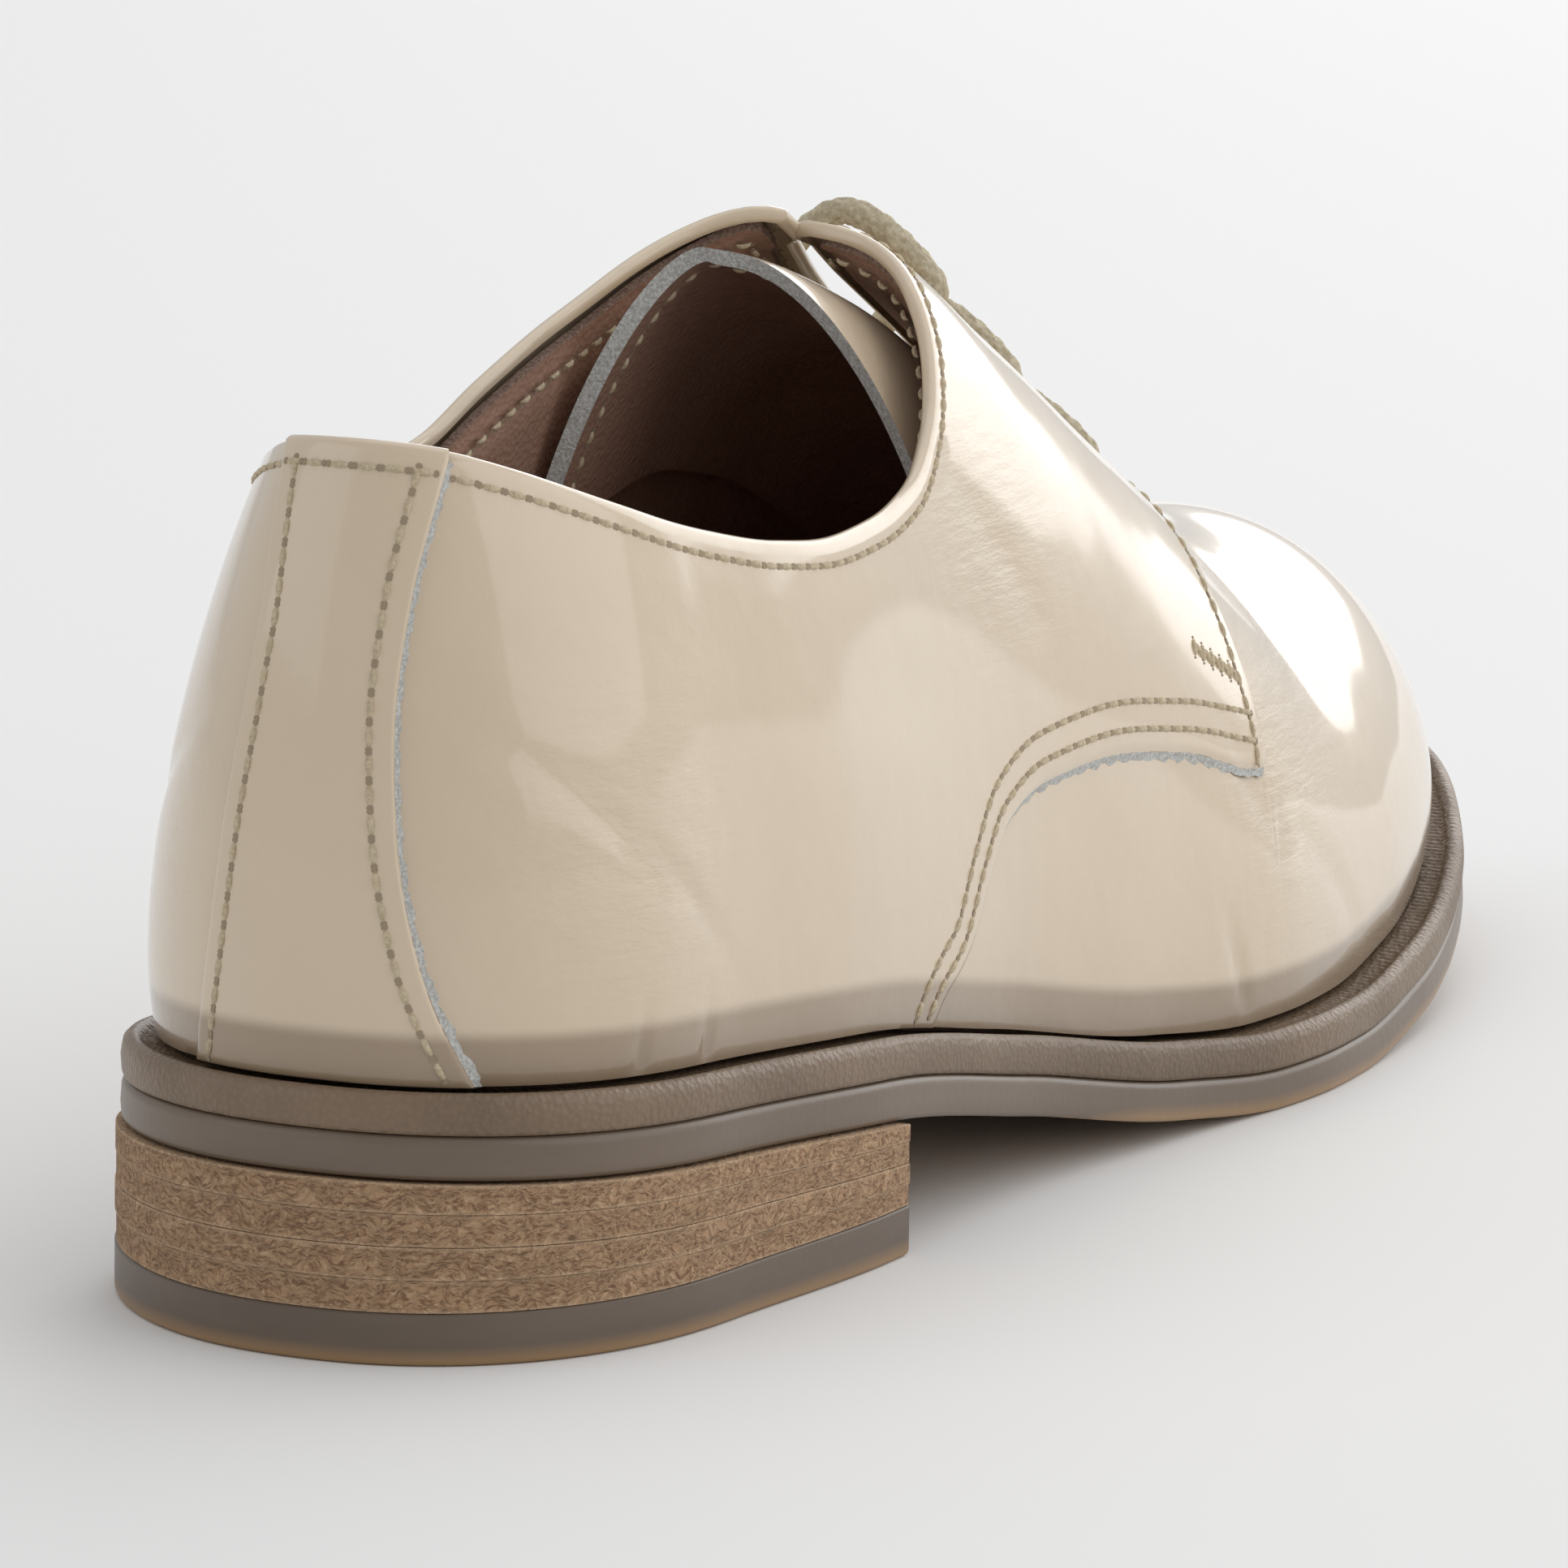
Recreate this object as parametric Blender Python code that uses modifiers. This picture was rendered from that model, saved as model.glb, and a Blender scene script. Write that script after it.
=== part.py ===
"""A right-foot derby shoe in patent leather, built as a shoemaker puts it together.

Metres, +Z up, +Y from heel to toe, +X to the wearer's right (the lateral side). The shoe stands on
its heel and its forefoot on Z = 0, and X = Y = 0 is the middle of its box.
"""

from collections import namedtuple

import bmesh
import bpy
import numpy as np
from mathutils import Vector

# Sole and heel
SOLE_LENGTH = 0.277
HEEL_WIDTH = 0.064
WAIST_WIDTH = 0.064
BALL_WIDTH = 0.089
SEAT_HEIGHT = 0.0184  # floor to the underside of the sole at the back
TOE_SPRING = 0.0132
OUTSOLE_THICKNESS = 0.0044
WELT_THICKNESS = 0.0042
WELT_WIDTH = 0.0105
EDGE_ROUND = 0.0006
HEEL_LENGTH_SHARE = 0.246
HEEL_FLARE = 0.0006  # how far the heel stands out past the sole
TOP_PIECE_THICKNESS = 0.0052
LIFT_COUNT = 4

# Upper
INSTEP_HEIGHT = 0.099
BACK_HEIGHT = 0.087
LAST_INSET = 0.0064  # sole edge to the last's feather line
WALL = 0.0020
LAP_STEP = 0.0010  # how far the quarters stand out past the vamp, and the strap past the quarters
THROAT_GAP = 0.0032
EYELET_RADIUS = 0.0020
EYELET_REACH = 0.0085

# Inside
INSOLE_THICKNESS = 0.0020
TONGUE_WALL = 0.0016
TONGUE_GAP = 0.0012  # between the tongue and the wall over it
TONGUE_DROP = 0.0050

# Lace
LACE_DIAMETER = 0.0030
LACE_ARCH = 0.0048

CLEARANCE = 0.0003

# How finely the curves are cut
COLUMNS = 42
STRAP_COLUMNS = 5
VAMP_ROWS = 10
QUARTER_ROWS = 10
SOLE_COLUMNS = 44
TONGUE_COLUMNS = 16
TONGUE_ROWS = 12
EYELET_SIDES = 12
LACE_SAMPLES = 19
RISE_SAMPLES = 401
SHARP_DEGREES = 40

PlanRow = namedtuple("PlanRow", "at width lateral medial")
SOLE_PLAN = (
    PlanRow(0.00, HEEL_WIDTH, 0.430, 0.470),
    PlanRow(0.11, HEEL_WIDTH, 0.462, 0.520),
    PlanRow(0.23, HEEL_WIDTH, 0.528, 0.490),
    PlanRow(0.36, WAIST_WIDTH, 0.545, 0.455),
    PlanRow(0.48, WAIST_WIDTH, 0.615, 0.515),
    PlanRow(0.60, BALL_WIDTH, 0.500, 0.455),
    PlanRow(0.71, BALL_WIDTH, 0.478, 0.500),
    PlanRow(0.81, BALL_WIDTH, 0.420, 0.465),
    PlanRow(0.90, BALL_WIDTH, 0.368, 0.412),
    PlanRow(1.00, BALL_WIDTH, 0.330, 0.360),
)
HEEL_ROUND_SHARE = 0.125
HEEL_FULLNESS = 2.2
TOE_ROUND_SHARE = 0.235
TOE_FULLNESS = 2.05

LineRow = namedtuple("LineRow", "at seat spring")
SOLE_LINE = (
    LineRow(0.000, 1.000, 0.00),
    LineRow(0.237, 0.772, 0.00),
    LineRow(0.360, 0.455, 0.00),
    LineRow(0.480, 0.110, 0.00),
    LineRow(0.555, 0.000, 0.00),
    LineRow(0.630, 0.000, 0.00),
    LineRow(0.720, 0.000, 0.17),
    LineRow(0.820, 0.000, 0.46),
    LineRow(0.910, 0.000, 0.74),
    LineRow(1.000, 0.000, 1.00),
)

# A meridian climbs the last from its feather line to its ridge: where it starts, where it ends,
# how full its section is and how far its side swells out
MeridianRow = namedtuple("MeridianRow", "at ridge lateral medial swell")
MERIDIANS = (
    MeridianRow(0.00, 0.085, 2.00, 2.00, 1.20),
    MeridianRow(0.05, 0.115, 2.00, 1.80, 1.10),
    MeridianRow(0.12, 0.162, 2.00, 1.76, 1.00),
    MeridianRow(0.20, 0.215, 2.00, 1.82, 0.90),
    MeridianRow(0.30, 0.295, 2.05, 1.95, 0.70),
    MeridianRow(0.40, 0.385, 2.20, 2.20, 0.40),
    MeridianRow(0.46, 0.442, 2.25, 2.25, 0.30),
    MeridianRow(0.55, 0.540, 2.10, 2.10, 0.40),
    MeridianRow(0.65, 0.650, 2.05, 2.05, 0.70),
    MeridianRow(0.80, 0.775, 2.15, 2.15, 0.70),
    MeridianRow(0.90, 0.840, 2.20, 2.20, 0.60),
    MeridianRow(1.00, 0.875, 2.25, 2.25, 0.50),
)
SWELL_PEAK = 0.35

RidgeRow = namedtuple("RidgeRow", "at height lean")
RIDGE = (
    RidgeRow(0.060, 1.020, 0.000),
    RidgeRow(0.160, 1.070, 0.000),
    RidgeRow(0.270, 1.090, -0.010),
    RidgeRow(0.360, 1.035, -0.020),
    RidgeRow(0.420, 0.966, -0.020),
    RidgeRow(0.460, 0.904, -0.026),
    RidgeRow(0.510, 0.835, -0.035),
    RidgeRow(0.580, 0.720, -0.030),
    RidgeRow(0.660, 0.604, -0.020),
    RidgeRow(0.740, 0.544, -0.010),
    RidgeRow(0.820, 0.512, 0.000),
    RidgeRow(0.875, 0.465, 0.000),
    RidgeRow(1.000, 0.320, 0.000),
)

CollarRow = namedtuple("CollarRow", "at lateral medial")
COLLAR = (
    CollarRow(0.000, 1.000, 1.000),
    CollarRow(0.012, 0.990, 0.990),
    CollarRow(0.036, 0.968, 0.970),
    CollarRow(0.086, 0.921, 0.930),
    CollarRow(0.148, 0.869, 0.893),
    CollarRow(0.196, 0.840, 0.885),
    CollarRow(0.243, 0.827, 0.905),
    CollarRow(0.280, 0.832, 0.955),
    CollarRow(0.320, 0.852, 1.004),
    CollarRow(0.355, 0.905, 1.038),
    CollarRow(0.385, 0.985, 1.070),
    CollarRow(0.405, 1.040, 1.090),
    CollarRow(0.430, 1.080, 1.115),
    CollarRow(0.450, 1.100, 1.130),
)
THROAT_TOP = 0.450
THROAT_END = 0.665  # the facings end there too
ThroatRow = namedtuple("ThroatRow", "at gap")
THROAT = (
    ThroatRow(0.450, 0.35),
    ThroatRow(0.500, 0.70),
    ThroatRow(0.580, 1.00),
    ThroatRow(0.640, 1.00),
    ThroatRow(0.655, 0.75),
    ThroatRow(0.665, 0.00),
)

# The quarter's edge from the side: its seam over the vamp, then the front edge of its facing
SeamRow = namedtuple("SeamRow", "at height")
QUARTER_SEAM = (
    SeamRow(0.288, 0.100),
    SeamRow(0.297, 0.200),
    SeamRow(0.328, 0.275),
    SeamRow(0.345, 0.340),
    SeamRow(0.364, 0.390),
    SeamRow(0.400, 0.420),
    SeamRow(0.445, 0.426),
    SeamRow(0.510, 0.405),
    SeamRow(0.576, 0.362),
)
FACING_FRONT = (
    SeamRow(0.576, 0.362),
    SeamRow(0.580, 0.470),
    SeamRow(0.590, 0.555),
    SeamRow(0.604, 0.604),
    SeamRow(0.618, 0.624),
    SeamRow(0.640, 0.618),
    SeamRow(0.661, 0.598),
    SeamRow(THROAT_END, 0.680),
)
QUARTER_EDGE = QUARTER_SEAM + FACING_FRONT[1:]

# The back strap's edge from behind
StrapRow = namedtuple("StrapRow", "height lateral medial")
STRAP = (
    StrapRow(0.20, 0.285, 0.290),
    StrapRow(0.32, 0.222, 0.240),
    StrapRow(0.45, 0.160, 0.205),
    StrapRow(0.60, 0.120, 0.180),
    StrapRow(0.74, 0.106, 0.155),
    StrapRow(0.85, 0.113, 0.142),
    StrapRow(1.00, 0.135, 0.144),
    StrapRow(1.15, 0.140, 0.148),
)

# The tongue's back edge leans: where it stands low on each side, and at the ridge
TONGUE_BACK_LATERAL = 0.372
TONGUE_BACK_MEDIAL = 0.325
TONGUE_BACK_RIDGE = 0.368
TONGUE_FRONT = 0.700
TongueRow = namedtuple("TongueRow", "along low drop")
TONGUE = (
    TongueRow(0.00, 0.34, 1.00),
    TongueRow(0.35, 0.50, 0.45),
    TongueRow(0.70, 0.60, 0.05),
    TongueRow(1.00, 0.62, 0.00),
)
EYELETS = (0.496, 0.570, 0.644)

# Columns of the upper's grid: more of them where the collar climbs to the throat. Others lie on
# the corners of the quarter's edge and on the ends of the throat
StationRow = namedtuple("StationRow", "share turn")
STATIONS = (
    StationRow(0.00, 0.00),
    StationRow(0.20, 0.20),
    StationRow(0.33, 0.36),
    StationRow(0.55, 0.48),
    StationRow(0.74, 0.60),
    StationRow(1.00, 1.00),
)

# The grid's columns follow the strap's edge up to the first share, and run free from the second
STRAP_REACH = 0.10
STRAP_FADE = 0.22
# Columns closer than this to a key one are left out
COLUMN_SPACING = 0.006
# How far the edge of a lap leans, as a share of a turn or of the wall's height
EDGE_LEAN = 0.0015

LATERAL, MEDIAL = 1.0, -1.0

MaterialRow = namedtuple("MaterialRow", "red green blue roughness")
PATENT = MaterialRow(0.700, 0.585, 0.450, 0.12)
LINING = MaterialRow(0.220, 0.110, 0.070, 0.60)
SOLE_RUBBER = MaterialRow(0.200, 0.150, 0.110, 0.45)
WELT_LEATHER = MaterialRow(0.250, 0.180, 0.130, 0.50)
STACK_LEATHER = MaterialRow(0.450, 0.270, 0.140, 0.70)
INSOLE_LEATHER = MaterialRow(0.300, 0.180, 0.110, 0.70)
LACE_CORD = MaterialRow(0.480, 0.420, 0.300, 0.85)


def smooth(rows, xname, yname, x):
    """Monotone cubic through two columns of a table."""
    xs = np.array([getattr(row, xname) for row in rows], float)
    ys = np.array([getattr(row, yname) for row in rows], float)
    return smooth_values(xs, ys, x)


def smooth_values(xs, ys, x):
    x = np.clip(x, xs[0], xs[-1])
    h, d = np.diff(xs), np.diff(ys) / np.diff(xs)
    w1, w2 = 2 * h[1:] + h[:-1], h[1:] + 2 * h[:-1]
    same = d[1:] * d[:-1] > 0
    after, before = np.where(same, d[1:], 1.0), np.where(same, d[:-1], 1.0)
    inner = np.where(same, (w1 + w2) / (w1 / before + w2 / after), 0.0)
    m = np.concatenate(([d[0]], inner, [d[-1]]))
    i = np.clip(np.searchsorted(xs, x, side="right") - 1, 0, len(h) - 1)
    u = (x - xs[i]) / h[i]
    start = ys[i] * (1 + 2 * u) * (1 - u) ** 2 + h[i] * m[i] * u * (1 - u) ** 2
    end = ys[i + 1] * u * u * (3 - 2 * u) + h[i] * m[i + 1] * u * u * (u - 1)
    return start + end


def side_name(side):
    return "lateral" if side > 0 else "medial"


# The last


def half_width(side, share):
    """The sole's half width on one side, at a share of its length."""
    xs = np.array([row.at for row in SOLE_PLAN])
    ys = np.array([row.width * getattr(row, side_name(side)) for row in SOLE_PLAN])
    width = smooth_values(xs, ys, share)
    heel = np.clip(1 - share / HEEL_ROUND_SHARE, 0, 1)
    toe = np.clip(1 - (1 - share) / TOE_ROUND_SHARE, 0, 1)
    width = width * (1 - heel**HEEL_FULLNESS) ** (1 / HEEL_FULLNESS)
    return width * (1 - toe**TOE_FULLNESS) ** (1 / TOE_FULLNESS)


def share_at(turn):
    """Share of the length at a turn from the back of the heel (0) to the tip of the toe (1)."""
    return (1 - np.cos(np.pi * turn)) / 2


def turn_at(share):
    return np.arccos(1 - 2 * np.asarray(share)) / np.pi


def y_at(share):
    """The sole's share 0 lies a heel flare in from the back of the box."""
    return SOLE_LENGTH * (np.asarray(share) - 0.5) + HEEL_FLARE / 2


def share_of(y):
    return (y - HEEL_FLARE / 2) / SOLE_LENGTH + 0.5


def edge_line(side, turn):
    share = share_at(np.clip(turn, 0, 1))
    return np.stack([side * half_width(side, share), y_at(share)], -1)


def edge_inward(side, turn):
    step = 2e-3
    along = edge_line(side, turn + step) - edge_line(side, turn - step)
    at_end = (turn <= 0) | (turn >= 1)
    along[..., 1] = np.where(at_end, 0.0, along[..., 1])
    along /= np.linalg.norm(along, axis=-1, keepdims=True)
    return side * np.stack([-along[..., 1], along[..., 0]], -1)


def sole_edge(side, turn, inset):
    """Plan points of the sole's edge, moved in along its normal."""
    turn = np.asarray(turn, float)
    return edge_line(side, turn) + inset * edge_inward(side, turn)


def sole_line(share):
    """Height of the sole's underside above the floor."""
    seat = SEAT_HEIGHT * smooth(SOLE_LINE, "at", "seat", share)
    return seat + TOE_SPRING * smooth(SOLE_LINE, "at", "spring", share)


def welt_line(share):
    return sole_line(share) + OUTSOLE_THICKNESS


def feather_line(share):
    return welt_line(share) + WELT_THICKNESS


def last_point(side, turn, rise):
    """Points of the last: turn goes round it, rise climbs from its feather line (0) to its ridge (1)."""
    turn, rise = np.broadcast_arrays(np.asarray(turn, float), np.asarray(rise, float))
    at = share_at(turn)
    foot = sole_edge(side, turn, LAST_INSET)
    reach = smooth(MERIDIANS, "at", "ridge", at)
    power = 2 / smooth(MERIDIANS, "at", side_name(side), at)
    top = np.stack([BALL_WIDTH * smooth(RIDGE, "at", "lean", reach), y_at(reach)], -1)
    angle = rise * np.pi / 2
    inward = 1 - np.clip(np.cos(angle), 0, 1) ** power
    upward = np.clip(np.sin(angle), 0, 1) ** power
    swell = WALL * smooth(MERIDIANS, "at", "swell", at)
    swell = swell * (upward / SWELL_PEAK) * np.exp(1 - upward / SWELL_PEAK) * (1 - upward)
    plan = foot + (top - foot) * inward[..., None] - edge_inward(side, turn) * swell[..., None]
    ridge = INSTEP_HEIGHT * smooth(RIDGE, "at", "height", share_of(plan[..., 1]))
    base = feather_line(share_of(foot[..., 1])) + CLEARANCE
    return np.concatenate([plan, (base + (ridge - base) * upward)[..., None]], -1)


def last_normal(side, turn, rise):
    step = 4e-3
    turn = np.clip(turn, step, 1 - step)
    rise = np.clip(rise, 5 * step, 1 - 2 * step)
    around = last_point(side, turn + step, rise) - last_point(side, turn - step, rise)
    up = last_point(side, turn, rise + step) - last_point(side, turn, rise - step)
    normal = side * np.cross(around, up)
    return normal / np.linalg.norm(normal, axis=-1, keepdims=True)


def skin(side, turn, rise, offset):
    """Points that lie off the last along its normal."""
    turn, rise, offset = np.broadcast_arrays(turn, rise, offset)
    normal = last_normal(side, turn, rise)
    shared = (normal + last_normal(-side, turn, rise)) * (0.0, 1.0, 1.0)
    centred = (turn <= 0) | (turn >= 1) | (rise >= 1)
    normal = np.where(centred[..., None], shared, normal)
    normal /= np.linalg.norm(normal, axis=-1, keepdims=True)
    return last_point(side, turn, rise) + offset[..., None] * normal


def rise_at_reach(side, turn, reach):
    """Rise at which a meridian comes within a reach of the ridge, measured across the shoe."""
    rises = np.linspace(0, 1, RISE_SAMPLES)
    across = np.abs(last_point(side, turn, rises)[:, 0] - last_point(side, turn, 1.0)[0])
    start = np.nonzero(across >= min(reach, across.max()))[0][-1]
    return np.interp(-reach, -across[start:], rises[start:])


def rise_at_height(side, turn, height):
    rises = np.linspace(0, 1, RISE_SAMPLES)
    return np.interp(height, last_point(side, turn, rises)[:, 2], rises)


def top_rise(side, turn):
    """Rise at which the upper ends: its collar, then the edge of its facing, then the ridge."""
    at = share_at(turn)
    if at < THROAT_TOP:
        return rise_at_height(side, turn, BACK_HEIGHT * smooth(COLLAR, "at", side_name(side), at))
    if at < THROAT_END:
        return rise_at_reach(side, turn, THROAT_GAP * smooth(THROAT, "at", "gap", at))
    return 1.0


def tops(side):
    """The rise of the upper's top edge, by turn."""
    turns = np.append(np.linspace(0, 1, RISE_SAMPLES), turn_at(np.array([THROAT_TOP, THROAT_END])))
    turns.sort()
    return turns, np.array([top_rise(side, turn) for turn in turns])


TOPS = {side: tops(side) for side in (LATERAL, MEDIAL)}


def wall_point(side, turn, level, offset):
    """Points of the upper's wall: level climbs from its foot (0), which stays over the welt, to 1."""
    top = np.interp(turn, *TOPS[side])
    points = skin(side, turn, level * top, offset)
    foot = feather_line(share_of(points[..., 1])) + CLEARANCE
    points[..., 2] = np.maximum(points[..., 2], foot)
    return points


def seam_level(side, turn):
    """Level at which the wall's outside comes above the quarter's edge."""
    levels = np.linspace(0, 1, RISE_SAMPLES)
    points = wall_point(side, turn, levels, WALL)
    edge = INSTEP_HEIGHT * smooth(QUARTER_EDGE, "at", "height", share_of(points[:, 1]))
    return crossing(points[:, 2] - edge, levels)


def strap_turn(side, level):
    """Turn at which the back strap's outside comes to its edge."""
    turns = np.linspace(0, turn_at(STRAP_FADE), RISE_SAMPLES)
    points = wall_point(side, turns, level, WALL + 2 * LAP_STEP)
    half = HEEL_WIDTH * smooth(STRAP, "height", side_name(side), points[:, 2] / BACK_HEIGHT)
    return crossing(np.abs(points[:, 0]) - half, turns)


def crossing(values, keys):
    """The first key at which values rise above zero."""
    above = np.nonzero(values > 0)[0]
    if len(above) == 0:
        return keys[-1]
    last = above[0]
    if last == 0:
        return keys[0]
    pair = slice(last - 1, last + 1)
    return np.interp(0, values[pair], keys[pair])


# Builders


def clear_scene():
    for item in list(bpy.data.objects):
        bpy.data.objects.remove(item, do_unlink=True)


def make_collection(name):
    collection = bpy.data.collections.new(name)
    bpy.context.scene.collection.children.link(collection)
    return collection


def make_material(name, row):
    material = bpy.data.materials.new(name)
    material.use_nodes = True
    shader = material.node_tree.nodes["Principled BSDF"]
    shader.inputs["Base Color"].default_value = (row.red, row.green, row.blue, 1.0)
    shader.inputs["Roughness"].default_value = row.roughness
    shader.inputs["Metallic"].default_value = 0.0
    return material


def add_object(name, mesh, collection, material=None):
    item = bpy.data.objects.new(name, mesh)
    collection.objects.link(item)
    if material:
        mesh.materials.append(material)
    return item


def mesh_from(name, points, faces, closed=True):
    """A mesh whose coinciding points are joined, with its faces pointing out."""
    bm = bmesh.new()
    verts = [bm.verts.new(Vector(point)) for point in points]
    for face in faces:
        bm.faces.new([verts[i] for i in face])
    bmesh.ops.remove_doubles(bm, verts=bm.verts, dist=1e-6)
    if closed:
        bmesh.ops.recalc_face_normals(bm, faces=bm.faces)
    mesh = bpy.data.meshes.new(name)
    bm.to_mesh(mesh)
    bm.free()
    return mesh


def shade(item):
    item.data.shade_smooth()
    item.data.set_sharp_from_angle(angle=np.radians(SHARP_DEGREES))


def grid_faces(columns, rows, start, flip):
    faces = []
    for i in range(columns - 1):
        for j in range(rows - 1):
            a = start + i * rows + j
            face = [a, a + rows, a + rows + 1, a + 1]
            faces.append(face[::-1] if flip else face)
    return faces


def skin_mesh(name, sheets):
    """One open surface from a grid for each side of the last."""
    points, faces = [], []
    for side, grid in sheets:
        columns, rows = grid.shape[:2]
        faces += grid_faces(columns, rows, len(points), side < 0)
        points += [tuple(p) for p in grid.reshape(-1, 3)]
    return mesh_from(name, points, faces, closed=False)


def solidify(item, thickness):
    modifier = item.modifiers.new("wall", "SOLIDIFY")
    modifier.thickness = thickness
    modifier.offset = 1.0


def boolean(item, cutter, operation):
    modifier = item.modifiers.new(cutter.name, "BOOLEAN")
    modifier.object = cutter
    modifier.operation = operation
    modifier.solver = "EXACT"


def hide_cutter(item):
    item.hide_render = True
    item.display_type = "WIRE"


# Sole and heel


def rings(turns, levels):
    """Loops of points up a plate's side: medial from front to back, then lateral back to front."""
    loops = []
    for inset, line, lift in levels:
        medial = sole_edge(MEDIAL, turns[::-1], inset)
        lateral = sole_edge(LATERAL, turns, inset)
        plan = np.concatenate([medial, lateral])
        height = line(share_of(plan[:, 1])) + lift
        loops.append(np.column_stack([plan, height]))
    return loops


def plate(name, turns, levels, collection, material):
    """A closed plate: its side walls, and a ladder of faces across its bottom and its top."""
    loops = rings(turns, levels)
    n = len(loops[0])
    points = [tuple(p) for loop in loops for p in loop]
    faces = []
    for k in range(len(loops) - 1):
        a, b = k * n, (k + 1) * n
        faces += [[a + i, a + i + 1, b + i + 1, b + i] for i in range(n - 1)]
    for k, first in ((0, 0), (len(loops) - 1, (len(loops) - 1) * n)):
        for i in range(n // 2 - 1):
            faces.append([first + i, first + i + 1, first + n - 2 - i, first + n - 1 - i])
    if turns[-1] < 1:
        ends = [k * n for k in range(len(loops))]
        faces.append(ends + [k + n - 1 for k in reversed(ends)])
    mesh = mesh_from(name, points, [list(dict.fromkeys(face)) for face in faces])
    item = add_object(name, mesh, collection, material)
    shade(item)
    return item


def strip(name, section, collection, material):
    """A closed strip round the sole's edge, from a section of insets and heights."""
    turns = np.linspace(0, 1, SOLE_COLUMNS)
    loops = []
    for inset, lift in section:
        lateral = sole_edge(LATERAL, turns, inset)
        medial = sole_edge(MEDIAL, turns[::-1], inset)[1:-1]
        plan = np.concatenate([lateral, medial])
        loops.append(np.column_stack([plan, welt_line(share_of(plan[:, 1])) + lift]))
    n = len(loops[0])
    points = [tuple(p) for loop in loops for p in loop]
    faces = []
    for k in range(len(loops)):
        a, b = k * n, ((k + 1) % len(loops)) * n
        faces += [[a + i, a + (i + 1) % n, b + (i + 1) % n, b + i] for i in range(n)]
    item = add_object(name, mesh_from(name, points, faces), collection, material)
    shade(item)
    return item


def floor_line(share):
    return np.zeros_like(share)


def stack_line(level):
    """Height of a level of the heel's stack, from its top piece (0) to the sole (1)."""
    return lambda share: TOP_PIECE_THICKNESS + (sole_line(share) - TOP_PIECE_THICKNESS) * level


def make_outsole(collection, material):
    levels = (
        (EDGE_ROUND, sole_line, 0.0),
        (0.0, sole_line, EDGE_ROUND),
        (0.0, welt_line, -EDGE_ROUND - CLEARANCE),
        (EDGE_ROUND, welt_line, -CLEARANCE),
    )
    plate("outsole", np.linspace(0, 1, SOLE_COLUMNS), levels, collection, material)


def make_welt(collection, material):
    rim = 3 * EDGE_ROUND
    section = (
        (WELT_WIDTH, 0.0),
        (EDGE_ROUND, 0.0),
        (0.0, EDGE_ROUND),
        (0.0, WELT_THICKNESS - 2 * EDGE_ROUND),
        (EDGE_ROUND, WELT_THICKNESS),
        (rim, WELT_THICKNESS),
        (rim + EDGE_ROUND, WELT_THICKNESS - EDGE_ROUND),
        (LAST_INSET - WALL - 2 * LAP_STEP, WELT_THICKNESS - EDGE_ROUND / 2),
        (LAST_INSET, WELT_THICKNESS - CLEARANCE),
        (WELT_WIDTH, WELT_THICKNESS - CLEARANCE),
    )
    strip("welt", section, collection, material)


def make_insole(collection, material):
    filler = WELT_WIDTH + CLEARANCE
    board = LAST_INSET + 4 * CLEARANCE
    levels = (
        (filler, welt_line, 0.0),
        (filler, feather_line, CLEARANCE),
        (board, feather_line, CLEARANCE),
        (board, feather_line, CLEARANCE + INSOLE_THICKNESS),
    )
    plate("insole", np.linspace(0, 1, SOLE_COLUMNS), levels, collection, material)


def make_heel(collection, stack_material, rubber):
    turns = np.linspace(0, turn_at(HEEL_LENGTH_SHARE), SOLE_COLUMNS // 2)
    levels = (
        (EDGE_ROUND - HEEL_FLARE, floor_line, 0.0),
        (-HEEL_FLARE, floor_line, EDGE_ROUND),
        (-HEEL_FLARE, floor_line, TOP_PIECE_THICKNESS),
    )
    plate("heel_top_piece", turns, levels, collection, rubber)
    for k in range(LIFT_COUNT):
        levels = (
            (-HEEL_FLARE, stack_line(k / LIFT_COUNT), CLEARANCE),
            (-HEEL_FLARE, stack_line((k + 1) / LIFT_COUNT), 0.0 if k < LIFT_COUNT - 1 else -CLEARANCE),
        )
        plate(f"heel_lift_{k + 1}", turns, levels, collection, stack_material)


# Upper


def stations():
    """Turns of the upper's columns, with some on the strap's edge and on the quarter's corners."""
    reach = turn_at(STRAP_REACH)
    keys = turn_at(np.array([THROAT_TOP] + [row.at for row in QUARTER_EDGE[1:]]))
    turns = smooth(STATIONS, "share", "turn", np.linspace(0, 1, COLUMNS))
    free = [turn for turn in turns[:-1] if np.abs(keys - turn).min() > COLUMN_SPACING]
    front = np.sort([*keys, *(turn for turn in free if turn > reach + COLUMN_SPACING)])
    return np.concatenate([np.linspace(0, reach, STRAP_COLUMNS), [reach + EDGE_LEAN], front, [1.0]])


def follow_strap(side, turn, levels):
    """Turns of one column: behind the strap's edge columns share its width, and past it they fade."""
    edge = np.array([strap_turn(side, level) for level in levels])
    reach, fade = turn_at(STRAP_REACH), turn_at(STRAP_FADE)
    if turn <= reach:
        return edge * (turn / reach)
    if turn < fade:
        return turn + (edge - reach) * (fade - turn) / (fade - reach)
    return np.full(len(levels), turn)


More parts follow.
